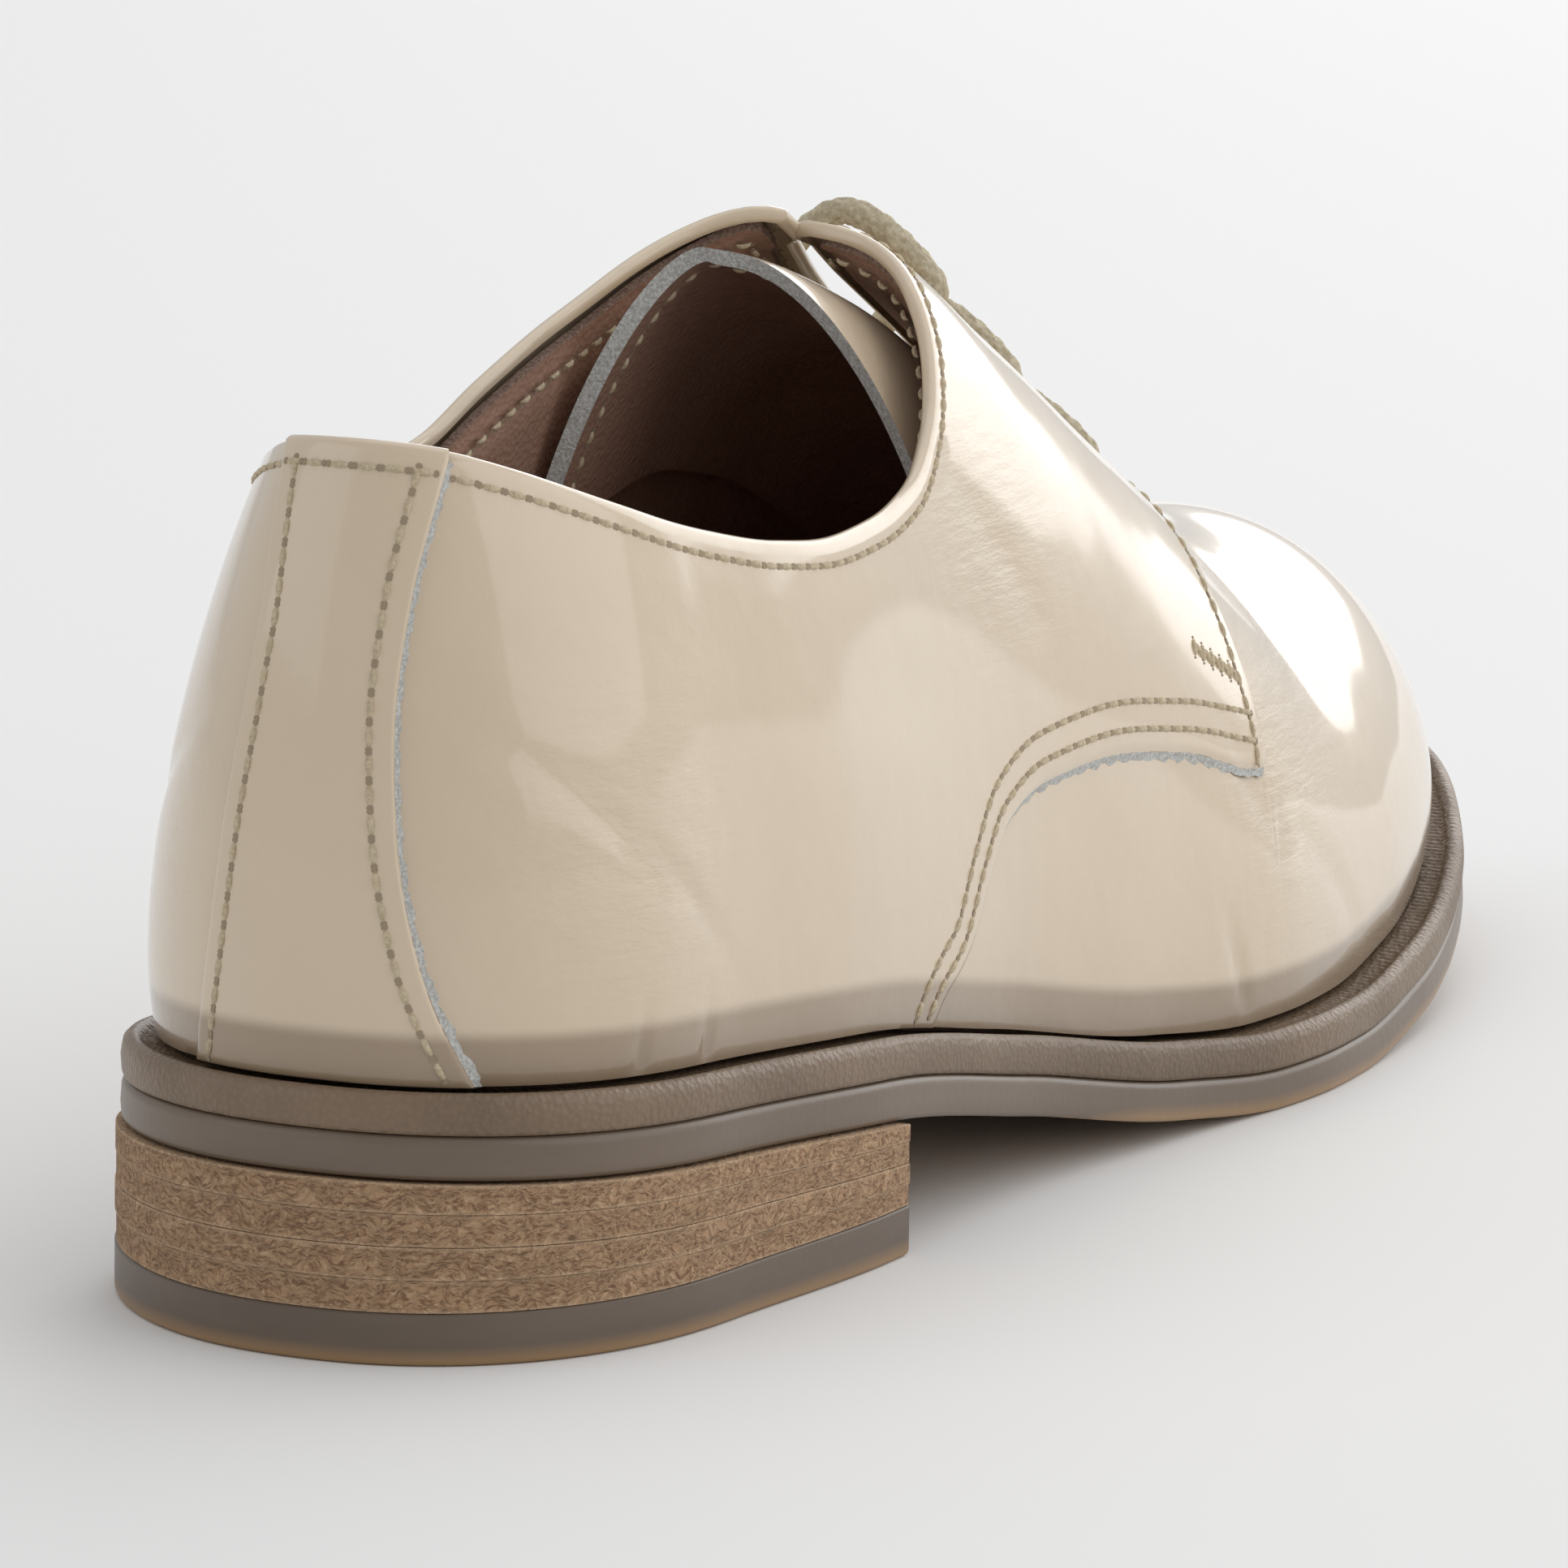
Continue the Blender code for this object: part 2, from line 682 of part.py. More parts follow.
def wall_column(side, turn):
    """A column of the wall, outside and inside: the outside steps out at the quarter's edge."""
    laps = 2 if turn <= turn_at(STRAP_REACH) else 1
    seam = seam_level(side, turn)
    start = min(seam + EDGE_LEAN, 1.0) if seam > 0 else 0.0
    levels = np.concatenate([np.linspace(0, seam, VAMP_ROWS), np.linspace(start, 1, QUARTER_ROWS)])
    steps = np.repeat([laps if seam == 0 else 0, laps if seam < 1 else 0], [VAMP_ROWS, QUARTER_ROWS])
    turns = follow_strap(side, turn, levels)
    outside = wall_point(side, turns, levels, WALL + LAP_STEP * steps)
    return outside, wall_point(side, turns, levels, 0.0)


def rim_faces(columns, rows, outside, inside, throat):
    """Faces between two grids: along the foot, and along the top edge as far as the throat's end."""
    faces = []
    for i in range(columns - 1):
        foot, top = i * rows, i * rows + rows - 1
        for first in (foot, top) if i < throat else (foot,):
            faces.append([outside + first, outside + first + rows, inside + first + rows, inside + first])
    return faces


def upper_mesh():
    turns = stations()
    throat = int(np.sum(turns < turn_at(THROAT_END)))
    points, faces = [], []
    for side in (LATERAL, MEDIAL):
        sheets = zip(*(wall_column(side, turn) for turn in turns))
        outside, inside = (np.array(sheet) for sheet in sheets)
        columns, rows = outside.shape[:2]
        start, count = len(points), columns * rows
        faces += grid_faces(columns, rows, start, side < 0)
        faces += grid_faces(columns, rows, start + count, side > 0)
        faces += rim_faces(columns, rows, start, start + count, throat)
        points += [tuple(p) for sheet in (outside, inside) for p in sheet.reshape(-1, 3)]
    return mesh_from("upper", points, faces)


def eyelet_frame(side, share):
    """An eyelet's place on the last and the direction of its axis."""
    turn = turn_at(share)
    rise = rise_at_reach(side, turn, EYELET_REACH)
    return last_point(side, turn, rise), last_normal(side, turn, rise)


def eyelet_cutter(name, side, share, collection):
    place, axis = eyelet_frame(side, share)
    bpy.ops.mesh.primitive_cylinder_add(vertices=EYELET_SIDES, radius=EYELET_RADIUS, depth=8 * WALL)
    item = bpy.context.active_object
    item.name = name
    item.location = place
    item.rotation_mode = "QUATERNION"
    item.rotation_quaternion = Vector(axis).to_track_quat("Z", "Y")
    for owner in list(item.users_collection):
        owner.objects.unlink(item)
    collection.objects.link(item)
    hide_cutter(item)
    return item


def make_upper(collection, cutters, material):
    item = add_object("upper", upper_mesh(), collection, material)
    for i, share in enumerate(EYELETS):
        boolean(item, eyelet_cutter(f"eyelet_lateral_{i + 1}", LATERAL, share, cutters), "DIFFERENCE")
        boolean(item, eyelet_cutter(f"eyelet_medial_{i + 1}", MEDIAL, share, cutters), "DIFFERENCE")
    shade(item)


def tongue_sheet(side):
    """The tongue's grid on one side: its sides follow the upper's wall, its ridge hangs lower."""
    back_low = TONGUE_BACK_LATERAL if side > 0 else TONGUE_BACK_MEDIAL
    columns = []
    for along in np.linspace(0, 1, TONGUE_COLUMNS):
        rises = np.linspace(smooth(TONGUE, "along", "low", along), 1.0, TONGUE_ROWS)
        climb = (rises - rises[0]) / (1 - rises[0])
        back = back_low + (TONGUE_BACK_RIDGE - back_low) * climb**2
        turns = turn_at(back) + (turn_at(TONGUE_FRONT) - turn_at(back)) * along
        drop = TONGUE_DROP * smooth(TONGUE, "along", "drop", along) * climb
        columns.append(skin(side, turns, rises, -TONGUE_GAP - TONGUE_WALL - drop))
    return np.array(columns)


def make_tongue(collection, material):
    mesh = skin_mesh("tongue", [(side, tongue_sheet(side)) for side in (LATERAL, MEDIAL)])
    item = add_object("tongue", mesh, collection, material)
    solidify(item, TONGUE_WALL)
    shade(item)


# Lace


def bar_points(share):
    """The route of a lace bar: out of one eyelet, over the throat and into the other."""
    (a, up_a), (b, up_b) = eyelet_frame(LATERAL, share), eyelet_frame(MEDIAL, share)
    clear = WALL + LAP_STEP + CLEARANCE + LACE_DIAMETER / 2
    peak = (a + b) / 2
    peak[2] = skin(LATERAL, turn_at(share), 1.0, 0.0)[2] + clear + LACE_ARCH / 2
    half = [a + up_a * WALL / 4, a + up_a * WALL, a + up_a * clear]
    other = [b + up_b * clear, b + up_b * WALL, b + up_b * WALL / 4]
    route = np.array([*half, peak, *other])
    key = np.arange(len(route), dtype=float)
    u = np.linspace(0, len(route) - 1, LACE_SAMPLES)
    return np.column_stack([smooth_values(key, route[:, i], u) for i in range(3)])


def make_lace_bar(index, share, collection, material):
    name = f"lace_bar_{index}"
    curve = bpy.data.curves.new(name, "CURVE")
    curve.dimensions = "3D"
    curve.bevel_depth = LACE_DIAMETER / 2
    curve.bevel_resolution = 2
    curve.use_fill_caps = True
    spline = curve.splines.new("POLY")
    points = bar_points(share)
    spline.points.add(len(points) - 1)
    for target, point in zip(spline.points, points):
        target.co = (*point, 1.0)
    item = add_object(name, curve, collection, material)
    item.data.materials.clear()
    item.data.materials.append(material)


def main():
    clear_scene()
    shoe = make_collection("derby_shoe")
    cutters = make_collection("cutters")
    patent = make_material("patent_leather", PATENT)
    lining = make_material("lining_leather", LINING)
    rubber = make_material("sole_rubber", SOLE_RUBBER)
    welt = make_material("welt_leather", WELT_LEATHER)
    stack = make_material("stacked_leather", STACK_LEATHER)
    insole = make_material("insole_leather", INSOLE_LEATHER)
    cord = make_material("lace_cord", LACE_CORD)
    make_outsole(shoe, rubber)
    make_welt(shoe, welt)
    make_insole(shoe, insole)
    make_heel(shoe, stack, rubber)
    make_upper(shoe, cutters, patent)
    make_tongue(shoe, lining)
    for i, share in enumerate(EYELETS):
        make_lace_bar(i + 1, share, shoe, cord)


main()
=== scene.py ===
"""Dresses a right-foot derby shoe in cream patent leather over its fixed frame.

Metres, +Z up, +Y from heel to toe, +X to the lateral side. The panels of the upper, its lining, the
tongue, the sole and the heel are rebuilt finely on the shape of the last that the frame's solids have.
"""

import logging
from collections import namedtuple
from collections.abc import Callable
from dataclasses import dataclass, field
from enum import Enum

import bmesh
import bpy
import numpy as np
from mathutils import Matrix, Vector


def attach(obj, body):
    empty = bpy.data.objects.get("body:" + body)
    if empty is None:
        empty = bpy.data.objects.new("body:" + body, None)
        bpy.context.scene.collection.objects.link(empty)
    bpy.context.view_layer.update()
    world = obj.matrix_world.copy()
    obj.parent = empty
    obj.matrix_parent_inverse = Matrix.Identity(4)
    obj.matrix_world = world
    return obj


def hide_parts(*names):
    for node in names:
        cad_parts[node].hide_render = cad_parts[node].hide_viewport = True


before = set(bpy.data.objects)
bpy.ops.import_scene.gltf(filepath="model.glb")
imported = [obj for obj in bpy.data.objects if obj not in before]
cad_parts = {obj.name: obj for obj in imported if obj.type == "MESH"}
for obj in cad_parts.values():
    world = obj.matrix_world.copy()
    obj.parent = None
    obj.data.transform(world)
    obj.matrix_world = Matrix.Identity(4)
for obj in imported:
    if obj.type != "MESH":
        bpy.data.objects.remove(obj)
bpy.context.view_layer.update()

log = logging.getLogger("derby")

Array = np.ndarray
Colour = tuple[float, float, float]

LATERAL, MEDIAL = 1.0, -1.0
SIDES = (LATERAL, MEDIAL)

PlanRow = namedtuple("PlanRow", "at width lateral medial")
LineRow = namedtuple("LineRow", "at seat spring")
MeridianRow = namedtuple("MeridianRow", "at ridge lateral medial swell")
RidgeRow = namedtuple("RidgeRow", "at height lean")
SideRow = namedtuple("SideRow", "at lateral medial")
GapRow = namedtuple("GapRow", "at gap")
SeamRow = namedtuple("SeamRow", "at height")
StrapRow = namedtuple("StrapRow", "height lateral medial")
TongueRow = namedtuple("TongueRow", "along low drop")
Fold = namedtuple("Fold", "y z along across angle depth")
Zone = namedtuple("Zone", "y z radius")
WeltRow = namedtuple("WeltRow", "inset lift ribbed")
Lamp = namedtuple("Lamp", "name place size watts")


def smooth_values(xs: Array, ys: Array, x: Array) -> Array:
    """Monotone cubic through points.

    Args:
        xs: rising keys.
        ys: a value for each key.
        x: where the curve is read.

    Returns:
        The curve's values at x.
    """
    x = np.clip(x, xs[0], xs[-1])
    h, d = np.diff(xs), np.diff(ys) / np.diff(xs)
    w1, w2 = 2 * h[1:] + h[:-1], h[1:] + 2 * h[:-1]
    same = d[1:] * d[:-1] > 0
    after, before = np.where(same, d[1:], 1.0), np.where(same, d[:-1], 1.0)
    inner = np.where(same, (w1 + w2) / (w1 / before + w2 / after), 0.0)
    m = np.concatenate(([d[0]], inner, [d[-1]]))
    i = np.clip(np.searchsorted(xs, x, side="right") - 1, 0, len(h) - 1)
    u = (x - xs[i]) / h[i]
    start = ys[i] * (1 + 2 * u) * (1 - u) ** 2 + h[i] * m[i] * u * (1 - u) ** 2
    end = ys[i + 1] * u * u * (3 - 2 * u) + h[i] * m[i + 1] * u * u * (u - 1)
    return start + end


def smooth(rows: tuple, xname: str, yname: str, x: Array) -> Array:
    """Monotone cubic through two columns of a table.

    Args:
        rows: the table.
        xname: the column of keys.
        yname: the column of values.
        x: where the curve is read.

    Returns:
        The curve's values at x.
    """
    xs = np.array([getattr(row, xname) for row in rows], float)
    ys = np.array([getattr(row, yname) for row in rows], float)
    return smooth_values(xs, ys, x)


def step(low: float, high: float, x: Array) -> Array:
    """Smooth step from 0 at low to 1 at high."""
    u = np.clip((x - low) / (high - low), 0, 1)
    return u * u * (3 - 2 * u)


def crossing(values: Array, keys: Array) -> float:
    """The first key at which values rise above zero.

    Args:
        values: values in the order of their keys.
        keys: rising keys.

    Returns:
        The key, read between its neighbours.
    """
    above = np.nonzero(values > 0)[0]
    if len(above) == 0:
        return keys[-1]
    if above[0] == 0:
        return keys[0]
    pair = slice(above[0] - 1, above[0] + 1)
    return float(np.interp(0, values[pair], keys[pair]))


def unit(vectors: Array) -> Array:
    """Vectors scaled to length 1."""
    return vectors / np.maximum(np.linalg.norm(vectors, axis=-1, keepdims=True), 1e-12)


def read_line(run: Array, points: Array, at: Array) -> Array:
    """Points of a line at distances along it."""
    return np.stack([np.interp(at, run, points[:, k]) for k in range(3)], -1)


def run_of(line: Array) -> Array:
    """Distance along a line at each of its points."""
    return np.concatenate([[0], np.cumsum(np.linalg.norm(np.diff(line, axis=0), axis=1))])


@dataclass
class Last:
    """The form that the shoe is built on, and the sizes that its pieces share."""

    sole_length: float = 0.277
    heel_width: float = 0.064
    ball_width: float = 0.089
    seat_height: float = 0.0184
    toe_spring: float = 0.0132
    outsole: float = 0.0044
    welt: float = 0.0042
    welt_width: float = 0.0105
    edge_round: float = 0.0006
    heel_share: float = 0.246
    heel_flare: float = 0.0006
    top_piece: float = 0.0052
    lifts: int = 4
    instep_height: float = 0.099
    back_height: float = 0.087
    inset: float = 0.0064
    wall: float = 0.0020
    lap: float = 0.0010
    throat_gap: float = 0.0032
    eyelet_reach: float = 0.0085
    insole: float = 0.0020
    tongue_wall: float = 0.0016
    tongue_gap: float = 0.0012
    tongue_drop: float = 0.0050
    lace: float = 0.0030
    lace_arch: float = 0.0048
    clearance: float = 0.0003
    samples: int = 401
    edge_samples: int = 101

    plan: tuple = (
        PlanRow(0.00, 0.064, 0.430, 0.470),
        PlanRow(0.11, 0.064, 0.462, 0.520),
        PlanRow(0.23, 0.064, 0.528, 0.490),
        PlanRow(0.36, 0.064, 0.545, 0.455),
        PlanRow(0.48, 0.064, 0.615, 0.515),
        PlanRow(0.60, 0.089, 0.500, 0.455),
        PlanRow(0.71, 0.089, 0.478, 0.500),
        PlanRow(0.81, 0.089, 0.420, 0.465),
        PlanRow(0.90, 0.089, 0.368, 0.412),
        PlanRow(1.00, 0.089, 0.330, 0.360),
    )
    heel_round: tuple[float, float] = (0.125, 2.2)
    toe_round: tuple[float, float] = (0.235, 2.05)
    line: tuple = (
        LineRow(0.000, 1.000, 0.00),
        LineRow(0.237, 0.772, 0.00),
        LineRow(0.360, 0.455, 0.00),
        LineRow(0.480, 0.110, 0.00),
        LineRow(0.555, 0.000, 0.00),
        LineRow(0.630, 0.000, 0.00),
        LineRow(0.720, 0.000, 0.17),
        LineRow(0.820, 0.000, 0.46),
        LineRow(0.910, 0.000, 0.74),
        LineRow(1.000, 0.000, 1.00),
    )
    meridians: tuple = (
        MeridianRow(0.00, 0.085, 2.00, 2.00, 1.20),
        MeridianRow(0.05, 0.115, 2.00, 1.80, 1.10),
        MeridianRow(0.12, 0.162, 2.00, 1.76, 1.00),
        MeridianRow(0.20, 0.215, 2.00, 1.82, 0.90),
        MeridianRow(0.30, 0.295, 2.05, 1.95, 0.70),
        MeridianRow(0.40, 0.385, 2.20, 2.20, 0.40),
        MeridianRow(0.46, 0.442, 2.25, 2.25, 0.30),
        MeridianRow(0.55, 0.540, 2.10, 2.10, 0.40),
        MeridianRow(0.65, 0.650, 2.05, 2.05, 0.70),
        MeridianRow(0.80, 0.775, 2.15, 2.15, 0.70),
        MeridianRow(0.90, 0.840, 2.20, 2.20, 0.60),
        MeridianRow(1.00, 0.875, 2.25, 2.25, 0.50),
    )
    swell_peak: float = 0.35
    ridge: tuple = (
        RidgeRow(0.060, 1.020, 0.000),
        RidgeRow(0.160, 1.070, 0.000),
        RidgeRow(0.270, 1.090, -0.010),
        RidgeRow(0.360, 1.035, -0.020),
        RidgeRow(0.420, 0.966, -0.020),
        RidgeRow(0.460, 0.904, -0.026),
        RidgeRow(0.510, 0.835, -0.035),
        RidgeRow(0.580, 0.720, -0.030),
        RidgeRow(0.660, 0.604, -0.020),
        RidgeRow(0.740, 0.544, -0.010),
        RidgeRow(0.820, 0.512, 0.000),
        RidgeRow(0.875, 0.465, 0.000),
        RidgeRow(1.000, 0.320, 0.000),
    )
    collar: tuple = (
        SideRow(0.000, 1.000, 1.000),
        SideRow(0.012, 0.990, 0.990),
        SideRow(0.036, 0.968, 0.970),
        SideRow(0.086, 0.921, 0.930),
        SideRow(0.148, 0.869, 0.893),
        SideRow(0.196, 0.840, 0.885),
        SideRow(0.243, 0.827, 0.905),
        SideRow(0.280, 0.832, 0.955),
        SideRow(0.320, 0.852, 1.004),
        SideRow(0.355, 0.905, 1.038),
        SideRow(0.385, 0.985, 1.070),
        SideRow(0.405, 1.040, 1.090),
        SideRow(0.430, 1.080, 1.115),
        SideRow(0.450, 1.100, 1.130),
    )
    throat_top: float = 0.450
    throat_end: float = 0.665
    throat: tuple = (
        GapRow(0.450, 0.35),
        GapRow(0.500, 0.70),
        GapRow(0.580, 1.00),
        GapRow(0.640, 1.00),
        GapRow(0.655, 0.75),
        GapRow(0.665, 0.00),
    )
    seam: tuple = (
        SeamRow(0.288, 0.100),
        SeamRow(0.297, 0.200),
        SeamRow(0.328, 0.275),
        SeamRow(0.345, 0.340),
        SeamRow(0.364, 0.390),
        SeamRow(0.400, 0.420),
        SeamRow(0.445, 0.426),
        SeamRow(0.510, 0.405),
        SeamRow(0.576, 0.362),
    )
    facing: tuple = (
        SeamRow(0.576, 0.362),
        SeamRow(0.580, 0.470),
        SeamRow(0.590, 0.555),
        SeamRow(0.604, 0.604),
        SeamRow(0.618, 0.624),
        SeamRow(0.640, 0.618),
        SeamRow(0.661, 0.598),
        SeamRow(0.665, 0.680),
    )
    strap: tuple = (
        StrapRow(0.20, 0.285, 0.290),
        StrapRow(0.32, 0.222, 0.240),
        StrapRow(0.45, 0.160, 0.205),
        StrapRow(0.60, 0.120, 0.180),
        StrapRow(0.74, 0.106, 0.155),
        StrapRow(0.85, 0.113, 0.142),
        StrapRow(1.00, 0.135, 0.144),
        StrapRow(1.15, 0.140, 0.148),
    )
    strap_fade: float = 0.22
    tongue_back: tuple[float, float, float] = (0.372, 0.325, 0.368)
    tongue_front: float = 0.700
    tongue: tuple = (
        TongueRow(0.00, 0.34, 1.00),
        TongueRow(0.35, 0.50, 0.45),
        TongueRow(0.70, 0.60, 0.05),
        TongueRow(1.00, 0.62, 0.00),
    )
    eyelets: tuple = (0.496, 0.570, 0.644)
    tops: dict = field(default_factory=dict)

    def __post_init__(self) -> None:
        """Works out the upper's top edge once for each side."""
        turns = np.append(
            np.linspace(0, 1, self.samples),
            self.turn_at(np.array([self.throat_top, self.throat_end])),
        )
        turns.sort()
        for side in SIDES:
            self.tops[side] = (turns, np.array([self.top_rise(side, turn) for turn in turns]))

    @staticmethod
    def side_name(side: float) -> str:
        """The table column of a side."""
        return "lateral" if side > 0 else "medial"

    @staticmethod
    def share_at(turn: Array) -> Array:
        """Share of the length at a turn from the heel's back (0) to the toe's tip (1)."""
        return (1 - np.cos(np.pi * turn)) / 2

    @staticmethod
    def turn_at(share: Array) -> Array:
        """The turn at a share of the length."""
        return np.arccos(1 - 2 * np.asarray(share)) / np.pi

    def y_at(self, share: Array) -> Array:
        """Place along the shoe of a share of the sole's length."""
        return self.sole_length * (np.asarray(share) - 0.5) + self.heel_flare / 2

    def share_of(self, y: Array) -> Array:
        """Share of the sole's length at a place along the shoe."""
        return (y - self.heel_flare / 2) / self.sole_length + 0.5

    def half_width(self, side: float, share: Array) -> Array:
        """The sole's half width on one side.

        Args:
            side: LATERAL or MEDIAL.
            share: share of the sole's length.

        Returns:
            Half widths in metres.
        """
        xs = np.array([row.at for row in self.plan])
        ys = np.array([row.width * getattr(row, self.side_name(side)) for row in self.plan])
        width = smooth_values(xs, ys, share)
        heel = np.clip(1 - share / self.heel_round[0], 0, 1)
        toe = np.clip(1 - (1 - share) / self.toe_round[0], 0, 1)
        width = width * (1 - heel ** self.heel_round[1]) ** (1 / self.heel_round[1])
        return width * (1 - toe ** self.toe_round[1]) ** (1 / self.toe_round[1])

    def edge_line(self, side: float, turn: Array) -> Array:
        """Plan points of the sole's edge."""
        share = self.share_at(np.clip(turn, 0, 1))
        return np.stack([side * self.half_width(side, share), self.y_at(share)], -1)

    def edge_inward(self, side: float, turn: Array) -> Array:
        """Plan directions from the sole's edge inwards.

        Args:
            side: LATERAL or MEDIAL.
            turn: way round the last, from the heel's back (0) to the toe's tip (1).

        Returns:
            Unit vectors in plan.
        """
        nudge = 2e-3
        along = self.edge_line(side, turn + nudge) - self.edge_line(side, turn - nudge)
        at_end = (turn <= 0) | (turn >= 1)
        along[..., 1] = np.where(at_end, 0.0, along[..., 1])
        along = unit(along)
        return side * np.stack([-along[..., 1], along[..., 0]], -1)

    def sole_edge(self, side: float, turn: Array, inset: float) -> Array:
        """Plan points of the sole's edge, moved in along its normal."""
        turn = np.asarray(turn, float)
        return self.edge_line(side, turn) + inset * self.edge_inward(side, turn)

    def sole_line(self, share: Array) -> Array:
        """Height of the sole's underside."""
        seat = self.seat_height * smooth(self.line, "at", "seat", share)
        return seat + self.toe_spring * smooth(self.line, "at", "spring", share)

    def welt_line(self, share: Array) -> Array:
        """Height of the welt's underside."""
        return self.sole_line(share) + self.outsole

    def feather_line(self, share: Array) -> Array:
        """Height of the welt's top."""
        return self.welt_line(share) + self.welt

    def point(self, side: float, turn: Array, rise: Array) -> Array:
        """Points of the last.

        Args:
            side: LATERAL or MEDIAL.
            turn: the way round the last, 0 at the heel's back and 1 at the toe's tip.
            rise: the climb from the feather line (0) to the ridge (1).

        Returns:
            Points, one for each turn and rise.
        """
        turn, rise = np.broadcast_arrays(np.asarray(turn, float), np.asarray(rise, float))
        at = self.share_at(turn)
        foot = self.sole_edge(side, turn, self.inset)
        reach = smooth(self.meridians, "at", "ridge", at)
        power = 2 / smooth(self.meridians, "at", self.side_name(side), at)
        lean = self.ball_width * smooth(self.ridge, "at", "lean", reach)
        top = np.stack([lean, self.y_at(reach)], -1)
        angle = rise * np.pi / 2
        inward = 1 - np.clip(np.cos(angle), 0, 1) ** power
        upward = np.clip(np.sin(angle), 0, 1) ** power
        swell = self.wall * smooth(self.meridians, "at", "swell", at)
        peak = upward / self.swell_peak
        swell = swell * peak * np.exp(1 - peak) * (1 - upward)
        inward_edge = self.edge_inward(side, turn)
        plan = foot + (top - foot) * inward[..., None] - inward_edge * swell[..., None]
        ridge = self.instep_height * smooth(self.ridge, "at", "height", self.share_of(plan[..., 1]))
        base = self.feather_line(self.share_of(foot[..., 1])) + self.clearance
        return np.concatenate([plan, (base + (ridge - base) * upward)[..., None]], -1)

    def normal(self, side: float, turn: Array, rise: Array) -> Array:
        """Outward directions of the last.

        Args:
            side: LATERAL or MEDIAL.
            turn: way round the last, from the heel's back (0) to the toe's tip (1).
            rise: climb from the feather line (0) to the ridge (1).

        Returns:
            Unit vectors.
        """
        nudge = 4e-3
        turn = np.clip(turn, nudge, 1 - nudge)
        rise = np.clip(rise, 5 * nudge, 1 - 2 * nudge)
        around = self.point(side, turn + nudge, rise) - self.point(side, turn - nudge, rise)
        up = self.point(side, turn, rise + nudge) - self.point(side, turn, rise - nudge)
        return unit(side * np.cross(around, up))

    def skin(self, side: float, turn: Array, rise: Array, offset: Array) -> Array:
        """Points off the last along its normal, the same for both sides on its middle line.

        Args:
            side: LATERAL or MEDIAL.
            turn: way round the last, from the heel's back (0) to the toe's tip (1).
            rise: climb from the feather line (0) to the ridge (1).
            offset: distance off the last.

        Returns:
            Points, one for each turn, rise and offset.
        """
        turn, rise, offset = np.broadcast_arrays(turn, rise, offset)
        normal = self.normal(side, turn, rise)
        shared = (normal + self.normal(-side, turn, rise)) * (0.0, 1.0, 1.0)
        centred = (turn <= 0) | (turn >= 1) | (rise >= 1)
        normal = unit(np.where(centred[..., None], shared, normal))
        return self.point(side, turn, rise) + offset[..., None] * normal

    def rise_at_reach(self, side: float, turn: float, reach: float) -> float:
        """Rise at which a meridian comes within a reach of the ridge.

        Args:
            side: LATERAL or MEDIAL.
            turn: way round the last, from the heel's back (0) to the toe's tip (1).
            reach: distance from the ridge, across the shoe.

        Returns:
            The rise.
        """
        rises = np.linspace(0, 1, self.samples)
        across = np.abs(self.point(side, turn, rises)[:, 0] - self.point(side, turn, 1.0)[0])
        start = np.nonzero(across >= min(reach, across.max()))[0][-1]
        return float(np.interp(-reach, -across[start:], rises[start:]))

    def top_rise(self, side: float, turn: float) -> float:
        """Rise of the upper's collar, then of its facing's edge, then of the ridge.

        Args:
            side: LATERAL or MEDIAL.
            turn: way round the last, from the heel's back (0) to the toe's tip (1).

        Returns:
            The rise at which the upper ends.
        """
        at = self.share_at(turn)
        if at < self.throat_top:
            rises = np.linspace(0, 1, self.samples)
            height = self.back_height * smooth(self.collar, "at", self.side_name(side), at)
            return float(np.interp(height, self.point(side, turn, rises)[:, 2], rises))
        if at < self.throat_end:
            reach = self.throat_gap * smooth(self.throat, "at", "gap", at)
            return self.rise_at_reach(side, turn, reach)
        return 1.0

    def wall_point(self, side: float, turn: Array, level: Array, offset: Array) -> Array:
        """Points of the upper's wall: level climbs from its foot (0) to its top edge (1).

        Args:
            side: LATERAL or MEDIAL.
            turn: way round the last, from the heel's back (0) to the toe's tip (1).
            level: climb up the wall.
            offset: distance off the last.

        Returns:
            Points, which stay over the welt.
        """
        top = np.interp(turn, *self.tops[side])
        points = self.skin(side, turn, level * top, offset)
        foot = self.feather_line(self.share_of(points[..., 1])) + self.clearance
        points[..., 2] = np.maximum(points[..., 2], foot)
        return points

    def edge_height(self, share: Array) -> Array:
        """Height of the quarter's edge: its seam, then the front of its facing."""
        return self.instep_height * smooth(self.seam + self.facing[1:], "at", "height", share)

    def seam_level(self, side: float, turn: float) -> float:
        """Level at which the wall's outside comes above the quarter's edge.

        Args:
            side: LATERAL or MEDIAL.
            turn: way round the last, from the heel's back (0) to the toe's tip (1).

        Returns:
            The level.
        """
        levels = np.linspace(0, 1, self.edge_samples)
        points = self.wall_point(side, turn, levels, self.wall)
        return crossing(points[:, 2] - self.edge_height(self.share_of(points[:, 1])), levels)

    def strap_turn(self, side: float, level: float) -> float:
        """Turn at which the back strap's outside comes to its edge.

        Args:
            side: LATERAL or MEDIAL.
            level: climb up the wall.

        Returns:
            The turn.
        """
        turns = np.linspace(0, self.turn_at(self.strap_fade), self.edge_samples)
        points = self.wall_point(side, turns, level, self.wall + 2 * self.lap)
        share = smooth(self.strap, "height", self.side_name(side), points[:, 2] / self.back_height)
        return crossing(np.abs(points[:, 0]) - self.heel_width * share, turns)


LAST = Last()


# Shader expressions


